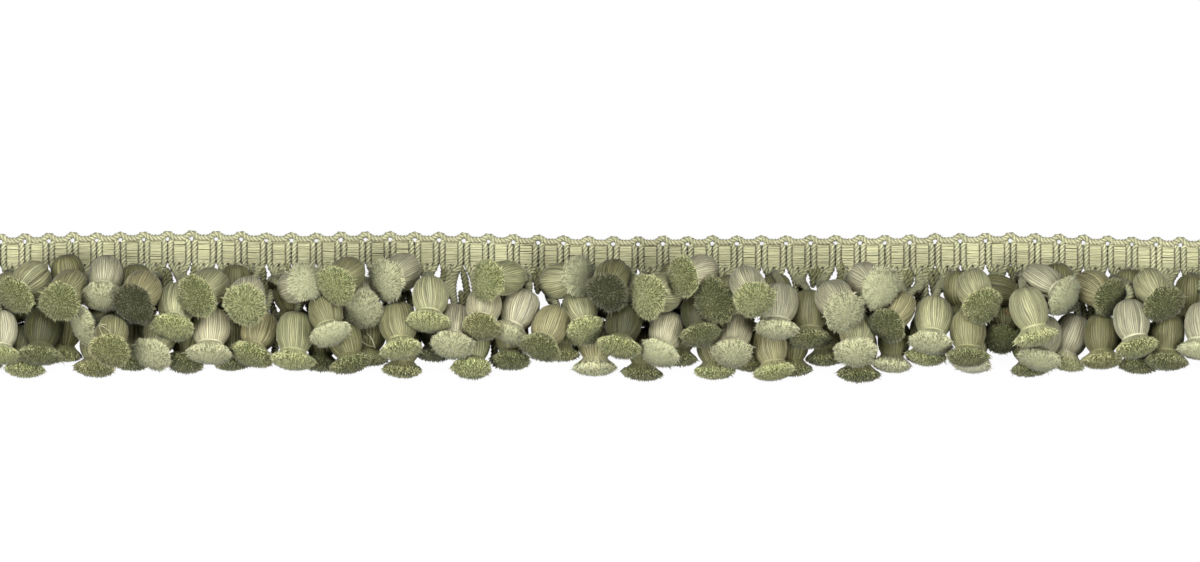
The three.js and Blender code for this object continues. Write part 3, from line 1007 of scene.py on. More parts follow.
class Heap:
    """Finds where every tassel of the solids came to rest."""

    SECTION = ((0, 13.2), (7.5, 10.6), (3.2, 6.4), (6.2, 1.2), (5.4, -4.0), (0, -6.8))
    SIDES = 6
    NEAR = 12.0  # how far a corner may be from where it is meant to be
    SAME = 0.12  # how near two corners are that count as one
    TABLE = 0.01  # a corner that is lower may have been cut off by the table
    SURE = 3  # how many corners may be missing from a place that is sure
    FEWEST = 6  # how many have to be there

    def __init__(self) -> None:
        """Reads the corners of the solids."""
        self.corners: dict[str, np.ndarray] = {}
        self.trees: dict[str, KDTree] = {}

    def _corners(self, node: str) -> tuple[np.ndarray, KDTree]:
        """A solid's corners, and a tree to look them up in.

        Args:
            node: the solid.
        Returns:
            The corners in millimetres, and the tree.
        """
        if node not in self.trees:
            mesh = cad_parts[node].data
            found = np.empty(len(mesh.vertices) * 3, np.float32)
            mesh.vertices.foreach_get("co", found)
            found = np.unique(np.round(found.reshape(-1, 3) / METRE, 3), axis=0)
            tree = KDTree(len(found))
            for i, point in enumerate(found):
                tree.insert(point, i)
            tree.balance()
            self.corners[node], self.trees[node] = found, tree
        return self.corners[node], self.trees[node]

    def template(self, row: Row) -> np.ndarray:
        """The corners of a row's solid about its bulb's middle.

        Args:
            row: the tassel.
        Returns:
            The corners, as if the table cut none of them off.
        """
        local = []
        for radius, along in self.SECTION:
            for angle in circle(self.SIDES if radius else 1):
                local.append((radius * math.sin(angle), -along, radius * math.cos(angle)))
        return np.array(local) * (row.size / 100) @ turned(row).T

    def find(self, row: Row, layer: Layer, node: str) -> Settled:
        """Where a row's tassel lies.

        Args:
            row: the tassel.
            layer: its layer.
            node: the solid that it is part of.
        Returns:
            It, settled.
        """
        corners, tree = self._corners(node)
        template = self.template(row)
        expected = np.array([row.x, row.y])
        best, centre = 0, None
        for base in template:
            near = corners[np.linalg.norm(corners[:, :2] - expected - base[:2], axis=1) < self.NEAR]
            for corner in near:
                if corner[2] < self.TABLE:
                    continue
                guess = corner - base
                points = template + guess
                points[:, 2] = np.maximum(points[:, 2], 0)
                hits = sum(tree.find(p)[2] < self.SAME for p in points)
                if hits > best:
                    best, centre = hits, guess
            if best >= len(template) - self.SURE:
                break
        if best < self.FEWEST:
            log.warning("%s at %s, %s: only %d corners found", node, row.x, row.y, best)
        return Settled(row, layer, centre, turned(row))

    def settle(self) -> list[Settled]:
        """Finds every tassel.

        Returns:
            Them all, numbered, back layer first.
        """
        found = [
            self.find(row, layer, solid(layer, i))
            for layer, rows in ROWS.items()
            for i, row in enumerate(rows)]
        return [tassel._replace(number=i) for i, tassel in enumerate(found)]


@dataclass
class Shelter:
    """How much of the light the tassels keep from what lies beside and beneath them."""

    tassels: list[Settled]
    balls: tuple[tuple[float, float], ...] = ((-0.3, 6.0), (10.0, 5.8))  # along each axis, and the radius
    reach: float = 22.0
    strength: float = 0.92
    least: float = 0.01
    spared: float = 0.9  # how much less of this the heading gets
    heading: tuple[float, float] = (-7.0, -4.0)  # the y at which it begins, and from which it is whole
    table: float = 1.0  # how high the heap is where there is no tassel

    def light(self, points: np.ndarray, normals: np.ndarray, owners: np.ndarray) -> np.ndarray:
        """The light left at each point.

        Args:
            points: where, in millimetres.
            normals: which way the surface faces there.
            owners: the tassel that each point is part of, or -1.
        Returns:
            A factor for each point, as a column.
        """
        left = np.ones(len(points))
        heading = np.interp(points[:, 1], self.heading, (0, 1)) * (owners < 0)
        strength = self.strength * (1 - self.spared * heading)
        order = np.argsort(points[:, 0])
        ranked = points[order, 0]
        for tassel in self.tassels:
            for along, radius in self.balls:
                ball, radius = tassel.on_axis(along), radius * tassel.row.size / 100
                first, last = np.searchsorted(ranked, [ball[0] - self.reach, ball[0] + self.reach])
                near = order[first:last]
                near = near[owners[near] != tassel.number]
                way = ball - points[near]
                far = np.linalg.norm(way, axis=1)
                way /= far[:, None]
                facing = np.clip(((way * normals[near]).sum(1) + 0.15) / 1.15, 0, 1)
                above = np.clip(way[:, 2] * 0.6 + 0.6, 0.1, 1)
                left[near] *= 1 - strength[near] * facing * above * (radius / np.maximum(far, radius)) ** 2
        return (self.least + (1 - self.least) * left * left * (3 - 2 * left))[:, None]

    def top(self, x: float, y: float) -> float:
        """How high the heap is at a place.

        Args:
            x: along the trim.
            y: up it.
        Returns:
            The height of the uppermost tassel there.
        """
        high = self.table
        for tassel in self.tassels:
            for along, radius in self.balls:
                ball = tassel.on_axis(along)
                rest = radius**2 - (ball[0] - x) ** 2 - (ball[1] - y) ** 2
                if rest > 0:
                    high = max(high, ball[2] + math.sqrt(rest))
        return high


@dataclass
class BulbShape:
    """The onion: strands of floss from the crown over the belly to the neck."""

    strands: int = 54
    back_strands: int = 34
    groove: float = 0.4  # how deep it is between two strands
    furrow: float = 0.85  # how deep the few wide folds are
    profile: tuple[tuple[float, float], ...] = (
        (0.7, -6.7), (2.3, -6.75), (3.9, -6.0), (5.1, -4.6), (5.95, -2.4), (6.25, 0.0),
        (6.1, 2.2), (5.55, 4.0), (4.8, 5.3), (4.2, 6.1), (3.9, 6.7), (3.5, 7.2),
    )
    waves: tuple[tuple[float, int, int], ...] = ((0.05, 3, 4), (0.025, 8, 7), (0.012, 19, 9))
    # how far the strands wander round the bulb, how often round it and how fast along it
    neck_light: float = 0.14  # how much lighter the floss is at the neck
    crown_shade: float = 0.2  # painted shade: how much darker it is at the crown, where the strands converge
    layers: tuple[float, float, float] = (0.93, 0.81, 0.84)  # how light each layer's bulbs are, back first

    def add(self, skein: Skein, tassel: Settled, rng: np.random.Generator) -> None:
        """Adds one tassel's bulb.

        Args:
            skein: where it goes.
            tassel: the tassel.
            rng: for its strands.
        """
        n = self.back_strands if tassel.layer is Layer.BACK else self.strands
        width = rng.uniform(0.6, 1.4, n)
        edge = np.cumsum(width) / width.sum() * TURN
        angle = np.stack([edge - width / width.sum() * math.pi, edge], 1).ravel()
        hollow = np.tile([0.0, 1.0], n)
        groove = hollow * self.groove * rng.uniform(0.75, 1.3, 2 * n)
        groove += np.repeat(rng.uniform(-0.05, 0.06, n), 2)
        for _ in range(rng.integers(0, 4)):
            off = np.angle(np.exp(1j * (angle - rng.uniform(0, TURN))))
            groove += self.furrow * rng.uniform(0.3, 1) * np.exp(-((off / rng.uniform(0.06, 0.16)) ** 2))
        radius, along = np.array(self.profile).T[..., None]
        belly = np.clip((radius - 1.5) / 3, 0.15, 1)
        t = np.linspace(0, 1, len(radius))[:, None]
        sway = rng.uniform(-0.25, 0.25) * t + 0.05 * np.sin(t * 5 + rng.uniform(0, 6))
        wobble = np.sin(t * math.pi) * sum(
            size * np.sin(angle * folds + t * twist + rng.uniform(0, TURN))
            for size, folds, twist in self.waves)
        lump = 1 + 0.04 * np.sin(angle * 2 + rng.uniform(0, 6))
        lump = lump + 0.025 * np.sin(angle * 3 + t * 4 + rng.uniform(0, 6))
        points = tassel.place(radius * lump - belly * groove, angle + sway + wobble, along)
        strand = np.repeat(rng.normal(1, 0.11, n), 2)[:, None]
        warm = np.repeat(rng.normal(0, 0.01, n), 2)[:, None] * np.array([1, 0, -1.6])
        colour = tassel.row.bulb.dye * WARMTH * self.layers[tassel.layer.rank] * strand * (1 + warm)
        # lighter towards the neck, and darker at the crown with painted shade
        pale_neck_shaded_crown = 1 + self.neck_light * np.clip((along - 2) / 4, 0, 1)
        pale_neck_shaded_crown = pale_neck_shaded_crown - self.crown_shade * np.clip(-(along + 4.5) / 2.2, 0, 1)
        # painted shade in the grooves between the strands, and deeper in the furrows
        tip = np.clip(1 - hollow * 0.8 - np.clip(groove - 0.4, 0, 1) * 0.6, 0, 1)
        lie = strand_lie(6, angle, along[:, 0] * 0.09, rng)
        skein.tube(points, colour * pale_neck_shaded_crown[..., None], tip, lie, owner=tassel.number)


@dataclass
class NeckWrap:
    """The thread wound round the neck."""

    turns: float = 2.0
    steps: int = 30
    thread: float = 0.26
    radius: float = 4.15
    along: float = 6.1
    rise: float = 0.75
    sides: int = 4
    pale: float = 1.08  # its brightness, of the bulb's

    def add(self, skein: Skein, tassel: Settled, rng: np.random.Generator) -> None:
        """Adds one tassel's wrap.

        Args:
            skein: where it goes.
            tassel: the tassel.
            rng: for where it starts.
        """
        steps = self.steps // (2 if tassel.layer is Layer.BACK else 1)
        t = np.linspace(0, 1, steps)[:, None]
        angle = t * self.turns * TURN + rng.uniform(0, 6)
        around = circle(self.sides)
        radius = self.radius + self.thread * np.cos(around)
        along = self.along + self.rise * t + self.thread * np.sin(around)
        lie = strand_lie(0.3, around, t[:, 0] * 6, rng)
        points = tassel.place(radius, angle, along)
        skein.tube(points, tassel.row.bulb.dye * self.pale, 0.9, lie, owner=tassel.number)


class Spikes(NamedTuple):
    """Fine tufts of fibre that come to a point, in a tassel's own frame."""

    radius: np.ndarray  # where each ends
    angle: np.ndarray
    along: np.ndarray
    polar: np.ndarray  # which way each points, in radians from the axis
    thick: np.ndarray
    root: np.ndarray  # how long each is
    tint: np.ndarray
    low: np.ndarray  # painted shade: how light each is at its foot, down among the other fibres


class Cut(NamedTuple):
    """One tassel's brush as it was cut."""

    tassel: Settled
    tone: np.ndarray  # its fibre tips' colour
    wave: np.ndarray  # where its three unevennesses start
    smooth: float  # how velvety it is, 0 to 1

    def uneven(self, angle: np.ndarray) -> np.ndarray:
        """How far out of round it is at each angle."""
        waves = zip((0.05, 0.04, 0.03), (2, 3, 7), self.wave)
        return 1 + sum(size * np.sin(angle * folds + start) for size, folds, start in waves)


@dataclass
class Brush:
    """The cut brush: strands that flare from the neck to a rim, cut across to a stippled face."""

    tufts: tuple[int, int, int] = (440, 1060, 1360)  # by layer, back first
    teeth: int = 124
    ribs: int = 44
    rib: float = 0.22  # how deep it is between two ribs of the skirt
    skirt: tuple[tuple[float, float], ...] = (
        (3.7, 5.9), (4.2, 6.5), (4.9, 7.2), (5.7, 7.9), (6.3, 8.5), (6.7, 9.0))
    face: tuple[tuple[float, float, float], ...] = (
        (6.3, 8.3, 84), (7.05, 8.9, 72), (7.45, 9.6, 62), (7.25, 10.35, 53), (6.5, 11.1, 44), (5.4, 11.7, 36),
        (4.0, 12.15, 27), (2.4, 12.5, 16), (0.9, 12.65, 6), (0.03, 12.7, 0),
    )  # radius, along, and the fibres' angle from the axis there
    rim: int = 2  # where in the face the rim is
    core_sides: int = 30
    sunk: float = 0.7  # how deep the core lies below the tips
    root: float = 1.35
    thick: float = 0.27
    dye: np.ndarray = field(default_factory=lambda: np.array([1.0, 0.995, 0.95]))
    layers: tuple[float, float, float] = (1.08, 0.94, 0.77)  # how light each layer's are, back first
    fan: float = 5.5  # how finely the fibres differ round the axis
    streak: float = 0.5  # how finely they differ out from it
    rim_sheen: np.ndarray = field(default_factory=lambda: np.array([0.03, 0.024, 0.022]))  # painted sheen, added near the rim, where the fibres are seen from the side
    speck: np.ndarray = field(default_factory=lambda: np.array([0.105, 0.094, 0.078]))  # added to some tips
    specks: float = 0.17  # the part of the tips that have it where nothing is velvety
    teeth_cream: np.ndarray = field(default_factory=lambda: np.array([0.075, 0.066, 0.053]))  # to the teeth

    def add(self, skein: Skein, tassel: Settled, rng: np.random.Generator) -> None:
        """Adds one tassel's brush.

        Args:
            skein: where it goes.
            tassel: the tassel.
            rng: for its tufts.
        """
        wave = rng.uniform(0, TURN, 3)
        tone = tassel.row.pile.dye * self.dye * self.layers[tassel.layer.rank]
        brush = Cut(tassel, tone, wave, tassel.row.pile.velvet)
        self._skirt(skein, brush, rng)
        self._core(skein, brush)
        self._spike(skein, tassel, rng, self._stipple(brush, rng))
        self._spike(skein, tassel, rng, self._rim(brush, rng))

    def _skirt(self, skein: Skein, brush: Cut, rng: np.random.Generator) -> None:
        """The strands' outer side, from the neck to the rim.

        Args:
            skein: where it goes.
            brush: the brush.
            rng: for its strands.
        """
        n = self.ribs * 2 // 3 if brush.tassel.layer is Layer.BACK else self.ribs
        radius, along = np.array(self.skirt).T[..., None]
        t = np.linspace(0, 1, len(radius))[:, None]
        angle = (np.arange(2 * n) + np.repeat(rng.uniform(-0.4, 0.4, n), 2)) / n * math.pi
        hollow = np.tile([0.0, 1.0], n)
        longer = np.repeat(rng.uniform(-0.35, 0.45, n), 2) * t**4
        radii = (radius + longer - hollow * self.rib) * (1 + (brush.uneven(angle) - 1) * t)
        points = brush.tassel.place(radii, angle, along + longer * 0.5)
        shade = np.repeat(rng.normal(1, 0.09, n), 2)[None, :, None] * (0.86 + 0.2 * t[..., None])
        lie = strand_lie(6, angle, along[:, 0] * 0.09, rng)
        tint = (brush.tone + brush.tassel.row.bulb.dye * WARMTH) / 2 * shade
        # painted shade between the ribs
        skein.tube(points, tint, 1 - hollow * 0.6, lie, 1, brush.tassel.number)

    def _core(self, skein: Skein, brush: Cut) -> None:
        """The packed fibres beneath the tufts, darkened with painted shade, less so where the brush is
        velvety.

        Args:
            skein: where it goes.
            brush: the brush.
        """
        radius, along, polar = np.array(self.face).T[..., None]
        angle = circle(self.core_sides)
        polar = np.radians(polar)
        radii = np.maximum(radius - self.sunk * np.sin(polar), 0.02) * brush.uneven(angle)
        points = brush.tassel.place(radii, angle, along - self.sunk * np.cos(polar))
        lie = self._lie(radii, angle, brush.tassel)
        skein.tube(points, brush.tone, 0.1 + 0.55 * brush.smooth, lie, owner=brush.tassel.number)

    def _lie(self, radius: np.ndarray, angle: np.ndarray, tassel: Settled) -> np.ndarray:
        """Coordinates in which the brush's colour changes slowly outwards and quickly round its axis.

        Args:
            radius: from the axis.
            angle: about the axis.
            tassel: whose brush it is.
        Returns:
            The coordinates.
        """
        return np.stack(np.broadcast_arrays(
            self.fan * np.sin(angle), self.fan * np.cos(angle),
            radius * self.streak + tassel.number * 3.17), -1)

    def _stipple(self, brush: Cut, rng: np.random.Generator) -> Spikes:
        """The tufts of the face, dots in its middle that lean out as short lines towards the rim.

        Args:
            brush: the brush.
            rng: for their unevenness.
        Returns:
            The tufts.
        """
        rough = 1 - brush.smooth
        count = self.tufts[brush.tassel.layer.rank]
        radius, along, polar = np.array(self.face)[::-1].T
        run = np.hypot(np.diff(radius), np.diff(along))
        area = np.concatenate([[0], np.cumsum(run * (radius[1:] + radius[:-1]))])
        spread = (np.arange(count) + rng.uniform(0.1, 0.9, count)) / count * area[-1]
        radius, along, polar = (np.interp(spread, area, values) for values in (radius, along, polar))
        angle = np.arange(count) * GOLDEN_ANGLE + rng.normal(0, 0.05, count)
        ragged = rng.normal(0, 0.08 + 0.1 * rough, count)
        centre = np.exp(-((polar / 30) ** 4))  # the smooth middle of the face
        rim = np.clip((polar - 34) / 22, 0, 1)[:, None]
        uneven = (0.08 + 0.15 * rough) * (1 - 0.5 * brush.smooth * centre) * (1 + rim[:, 0])
        shade = np.clip(1 + rng.normal(0, 1, count) * uneven, 0.5, 1.55)[:, None]
        # painted sheen: the face lighter towards the rim, where the fibres are seen from the side
        shade = shade * (0.84 + 0.1 * brush.smooth + (0.32 - 0.24 * brush.smooth) * rim)
        speck = (rng.uniform(0, 1, count) < self.specks * rough)[:, None] * self.speck
        hue = 1 + rng.normal(0, 0.04, count)[:, None] * np.array([1, 0.1, -1.2])
        wide = self.thick * math.sqrt(self.tufts[-1] / count)
        polar = np.radians(polar)
        return Spikes(
            radius * brush.uneven(angle) + ragged * np.sin(polar), angle,
            along + ragged * np.cos(polar), polar, wide * rng.uniform(0.75, 1.25, count),
            np.full(count, self.root), brush.tone * shade * hue + rim * self.rim_sheen + speck,
            0.04 + 0.62 * brush.smooth * (0.15 + 0.85 * centre))

    def _rim(self, brush: Cut, rng: np.random.Generator) -> Spikes:
        """The pale ragged teeth round the edge, and a few fibres that missed the shears.

        Args:
            brush: the brush.
            rng: for their unevenness.
        Returns:
            The tufts.
        """
        count = self.teeth // (2 if brush.tassel.layer is Layer.BACK else 1)
        angle = (np.arange(count) + rng.uniform(-0.4, 0.4, count)) / count * 2 * TURN
        inner = np.arange(count) * 2 // count
        clump = np.sin(angle * rng.integers(9, 15) + brush.wave[1])
        clump = clump + np.sin(angle * rng.integers(17, 25) + brush.wave[2])
        out = rng.uniform(0.1, 1.0, count) + 0.3 * clump
        out = out + (rng.uniform(0, 1, count) > 0.98) * rng.uniform(0.6, 1.8, count) - 0.3 * inner
        radius, along, polar = np.array(self.face)[self.rim + inner].T
        polar = np.radians(polar + rng.uniform(-12, 18, count))
        return Spikes(
            (radius - 0.1) * brush.uneven(angle) + out * np.sin(polar), angle,
            along + rng.uniform(-0.4, 0.4, count) + out * np.cos(polar), polar,
            rng.uniform(0.3, 0.5, count), out + 1.7,
            (brush.tone * 1.2 + self.teeth_cream) * rng.uniform(0.8, 1.2, count)[:, None],
            np.full(count, 0.05))

    def _spike(self, skein: Skein, tassel: Settled, rng: np.random.Generator, spikes: Spikes) -> None:
        """Adds tufts.

        Args:
            skein: where they go.
            tassel: the tassel.
            rng: for their tilt.
            spikes: the tufts.
        """
        count = len(spikes.angle)
        sine, cosine = np.sin(spikes.angle), np.cos(spikes.angle)
        way = np.stack([
            np.sin(spikes.polar) * sine, -np.cos(spikes.polar), np.sin(spikes.polar) * cosine], -1)
        tilt = unit(way + rng.normal(0, 0.09, (count, 3)))
        end = np.stack([spikes.radius * sine, -spikes.along, spikes.radius * cosine], -1)
        side = unit(np.cross(tilt, rng.normal(0, 1, (count, 3))))
        ring = rings(circle(3), side, np.cross(tilt, side)) * spikes.thick[:, None, None]
        foot = (end - tilt * spikes.root[:, None])[:, None] + ring
        tip = np.concatenate([np.tile(spikes.low, (3, 1)), np.full((1, count), 0.9)]).T
        skein.add(
            tassel.set_down(np.concatenate([foot, end[:, None]], 1)),
            np.array([[0, 1, 3], [1, 2, 3], [2, 0, 3]]), spikes.tint[:, None], tip,
            self._lie(spikes.radius, spikes.angle, tassel)[:, None], owner=tassel.number)


@dataclass
class Cords:
    """The upright cords beside the blocks, which run on as the tassels' hangers."""

    beside: float = PITCH / 2 - CORD_WIDTH / 2  # from a block's middle
    foot: float = -5.0  # the heading's lower edge
    upright: tuple[tuple[float, float, float], ...] = (
        (4.3, 1.5, 0.78), (3.9, 1.1, 0.93), (3.4, 0.55, 1.13), (2.8, 0.12, 1.33), (2.0, 0, 1.38),
        (0, 0, 1.38), (-2, 0, 1.38), (-4, 0, 1.38), (-5.0, 0.12, 1.38), (-5.9, 0.5, 1.48),
        (-6.8, 1.1, 1.58), (-7.7, 1.75, 1.68),
    )  # from where it tucks under the edge down into the V below its block
    inner: tuple[tuple[float, float, float], ...] = (
        (-3.4, 2.2, 0.5), (-4.2, 2.15, 0.6), (-5.0, 2.1, 0.9),
        (-5.9, 2.2, 1.1), (-6.8, 2.35, 1.2), (-7.7, 2.5, 1.3),
    )  # the top of a loop's other half, which comes out under the block
    crown: float = -6.3  # where on its tassel's axis a hanger ends
    points: int = 26
    rounds: int = 60  # of pushing the hangers off the tassels
    push: float = 0.3  # how much of its overlap a hanger is pushed in a round
    stride: float = 0.6  # the furthest that it moves in one
    clear: float = 7.2  # how far a hanger keeps from another tassel's middle
    keep: tuple[float, float] = (0.4, 9.6)  # where on a tassel's axis the hangers keep away from
    swell: float = 0.3  # how much thicker the cords are where they hang
    slim: float = 0.99
    follow: tuple[int, int] = (1, 18)  # the part of its hanger that a loop's other half runs beside
    beside_hanger: float = 1.2  # how far from it
    cord: Cord = Cord(step=0.55)
    tint: np.ndarray = field(default_factory=lambda: linear(195, 195, 155))

    def roots(self) -> np.ndarray:
        """Every upright's place and which side of its block it stands on, from left to right."""
        return np.array([
            (block_x(repeat) + side * self.beside, side) for repeat in range(REPEATS) for side in (-1, 1)])

    @staticmethod
    def beside_block(route: tuple[tuple[float, float, float], ...], x: float, side: float) -> np.ndarray:
        """A cord's line beside a block.

        Args:
            route: for each point, how far up, in from the upright's place, and off the table it is.
            x: the upright's place along the heading.
            side: -1 left of its block, 1 right of it.
        Returns:
            Points along it, as the heading wanders.
        """
        y, inward, z = np.array(route).T
        return Drift.move(np.stack([x - side * inward, y, z], 1))

    def hangers(
        self, heap: list[Settled], tassels: list[Settled], starts: np.ndarray, ways: np.ndarray
    ) -> np.ndarray:
        """Lines from the heading to each tassel, round the other tassels.

        Args:
            heap: every tassel.
            tassels: the one at each line's end.
            starts: where each line starts.
            ways: which way each sets out.
        Returns:
            tassels x points x 3.
        """
        t = np.linspace(0, 1, self.points)[:, None]
        ends = np.array([tassel.on_axis(self.crown) for tassel in tassels])
        axes = np.array([tassel.axis for tassel in tassels])
        gap = np.linalg.norm(ends - starts, axis=1)
        reach = np.clip(gap * 0.4, 1.5, 9)
        rest = 1 - t
        lines = np.array([
            rest**3 * a + 3 * t * rest**2 * (a + w * r) + 3 * t**2 * rest * (b - d * r) + t**3 * b
            for a, b, w, d, r in zip(starts, ends, ways, axes, reach)])
        balls = np.array([tassel.on_axis(along) for along in self.keep for tassel in heap])
        owner = np.array([tassel.number for tassel in heap] * len(self.keep))
        mine = np.array([tassel.number for tassel in tassels])
        others = (mine[:, None] != owner[None])[:, None]
        # The ends of a line stay where they are.
        loose = np.sin(np.linspace(0, math.pi, self.points))[None, :, None] > 0.25
        for _ in range(self.rounds):
            off = lines[:, :, None] - balls[None, None]
            far = np.linalg.norm(off, axis=-1)
            push = np.clip(self.clear - far, 0, None) * others / np.maximum(far, 0.1)
            move = (off * push[..., None]).sum(2) * self.push
            lines = lines + np.clip(move, -self.stride, self.stride) * loose
            lines[:, 1:-1] = lines[:, 1:-1] * 0.5 + (lines[:, :-2] + lines[:, 2:]) * 0.25
            lines[..., 2] = np.maximum(lines[..., 2], LOWEST_CORD)
        return lines

    def build(self, tassels: list[Settled], rng: np.random.Generator) -> tuple[Skein, Skein]:
        """The cords.

        Args:
            tassels: what hangs from them.
            rng: for their twist.
        Returns:
            The uprights, and the loops' other halves.
        """
        uprights, loops = Skein(), Skein()
        roots = self.roots()
        crowns = np.array([tassel.on_axis(self.crown)[0] for tassel in tassels])
        order = np.argsort(crowns)
        wandered = Drift.move(np.pad(roots[:, :1], ((0, 0), (0, 2))))[:, 0]
        pairs = self.matched(wandered, crowns[order])
        tops = [self.beside_block(self.upright, *roots[i]) for i, _ in pairs]
        starts = np.array([top[-1] for top in tops])
        # Each sets out down the heading, in under its block and a little off the table.
        ways = unit(np.array([(-roots[i][1] * 0.62, -1, 0.12) for i, _ in pairs]))
        lines = self.hangers(tassels, [tassels[order[k]] for _, k in pairs], starts, ways)
        used = set()
        for (i, _), top, line in zip(pairs, tops, lines):
            self._lay(uprights, line if i in used else np.concatenate([top, line[1:]]), rng)
            used.add(i)
        for i, (x, side) in enumerate(roots):
            line = next(line for (root, _), line in zip(pairs, lines) if root == i)
            near = line[slice(*self.follow)] + np.array([-side * self.beside_hanger, 0, -0.5])
            near[:, 2] = np.maximum(near[:, 2], LOWEST_CORD)
            self._lay(loops, np.concatenate([self.beside_block(self.inner, x, side), near]), rng)
        return uprights, loops

    @staticmethod
    def matched(roots: np.ndarray, crowns: np.ndarray) -> list[tuple[int, int]]:
        """Ties roots to crowns in their order along the trim, with cords as straight as they can be.

        Args:
            roots: where the roots are along the heading, in order.
            crowns: where the crowns are, in order.
        Returns:
            Pairs of a root and a crown; each is in at least one.
        """
        off = np.abs(roots[:, None] - crowns[None])
        total = np.full(off.shape, np.inf)
        came = np.zeros(off.shape, int)
        steps = ((1, 1), (1, 0), (0, 1))
        for i in range(len(roots)):
            for k in range(len(crowns)):
                if i == k == 0:
                    total[0, 0] = off[0, 0]
                    continue
                before = [
                    total[i - a, k - b] + SHARED * (a + b == 1) if i >= a and k >= b else np.inf
                    for a, b in steps]
                came[i, k] = int(np.argmin(before))
                total[i, k] = off[i, k] + before[came[i, k]]
        i, k, pairs = len(roots) - 1, len(crowns) - 1, []
        while i > 0 or k > 0:
            pairs.append((i, k))
            a, b = steps[came[i, k]]
            i, k = i - a, k - b
        return [(0, 0)] + pairs[::-1]

    def _lay(self, skein: Skein, path: np.ndarray, rng: np.random.Generator) -> None:
        """Lays one cord, a little thicker where it hangs, and darker there with painted shade, a little more
        olive too.

        Args:
            skein: where it goes.
            path: its line.
            rng: for its twist.
        """
        smooth = even(path, 0.5)
        drop = np.clip((self.foot + 1 - smooth[:, 1]) / 4, 0, 1)
        # painted shade: darker, and a little more olive, the further down the cord hangs below the heading
        tint = self.tint[None] * (1 - drop[:, None] * np.array([0.1, 0.09, 0.15]))
        self.cord.sweep(skein, smooth, tint, rng, self.slim + self.swell * drop)


@dataclass
class SlackCords:
    """Cords deep behind the hangers, which close some of the gaps between them; their dark tint is painted
    shade, as they lie in deep shadow.
    """

    thick: float = 1.3  # of the usual cord's thickness
    taper: float = 0.2  # the part of its length in which an end gets thinner
    bulge: float = 0.8  # how far its middle stands out to the right
    above: float = 0.45  # the part of its length that is above its place
    low: float = 1.6  # how high off the table its upper end lies
    rise: float = 1.2  # how much higher its lower end does
    deep_end_shade: float = 0.3  # painted shade: how much darker that end is, further in among the tassels
    cord: Cord = Cord(step=0.6)
    # painted shade: much darker than the hangers' own tint
    tint: np.ndarray = field(default_factory=lambda: linear(150, 150, 106))
    places: tuple[tuple[float, float, float, float], ...] = (
        (-154, -9, 3, 10), (-152, -9, 1, 8), (-143.7, -8, -2, 10), (-119.2, -8.5, -1, 8),
        (-109.5, -8, 2, 10), (-68, -16, 2, 12), (-55.9, -7.8, -1, 6), (-48, -12.5, 2, 17),
        (-49.6, -16.5, 0, 7), (-23.4, -10.5, 2, 8), (-22.3, -8.5, 2, 8), (-115.6, -20, 3, 10),
        (-117.8, -13, 0, 8), (-103, -19, 3, 10), (-38.3, -33, 1, 10), (73.2, -8.8, 1, 7),
        (75.5, -9, 2, 10), (82.5, -9, -3, 12), (106, -10, 2, 10), (107.3, -8.4, 1, 6),
        (115, -10.5, 3, 12), (116.6, -8, 1, 5), (143.5, -9, 3, 10), (168, -20.5, 2, 10),
        (170.4, -20.5, 0, 9), (172.5, -20.3, -2, 10), (-132, -34, 0, 8), (13, -12, -3, 12),
        (-1.5, -9.5, 2.5, 10), (110, -16, 1, 7), (-36, -22.5, 0, 6), (-115, -33, 0, 6),
        (-9.8, -33, 0, 6), (-76.4, -18, 0, 8), (-157.7, -23, 0, 8), (180.6, -31.5, 0, 6),
    )  # the middle of each, how far it leans over its length, and the length

    def build(self, rng: np.random.Generator) -> Skein:
        """The cords.

        Args:
            rng: for their twist.
        Returns:
            Them all.
        """
        skein = Skein()
        for x, y, lean, length in self.places:
            t = np.linspace(0, 1, int(length / self.cord.step))
            across = x + lean * (t - 0.5) + self.bulge * np.sin(t * math.pi)
            path = np.stack([across, y + length * (self.above - t), self.low + self.rise * t], 1)
            ends = np.clip(np.minimum(t, 1 - t) / self.taper, 0.15, 1) ** 0.5
            tint = self.tint * (1 - self.deep_end_shade * t[:, None])
            self.cord.sweep(skein, path, tint, rng, self.thick * ends)
        return skein


class Stray(NamedTuple):
    """A loose fibre: where it starts and ends on the heap, and how it bows between."""

    start: tuple[float, float]
    end: tuple[float, float]
    bow: float = 0.0
    tint: tuple[int, int, int] = (206, 205, 166)


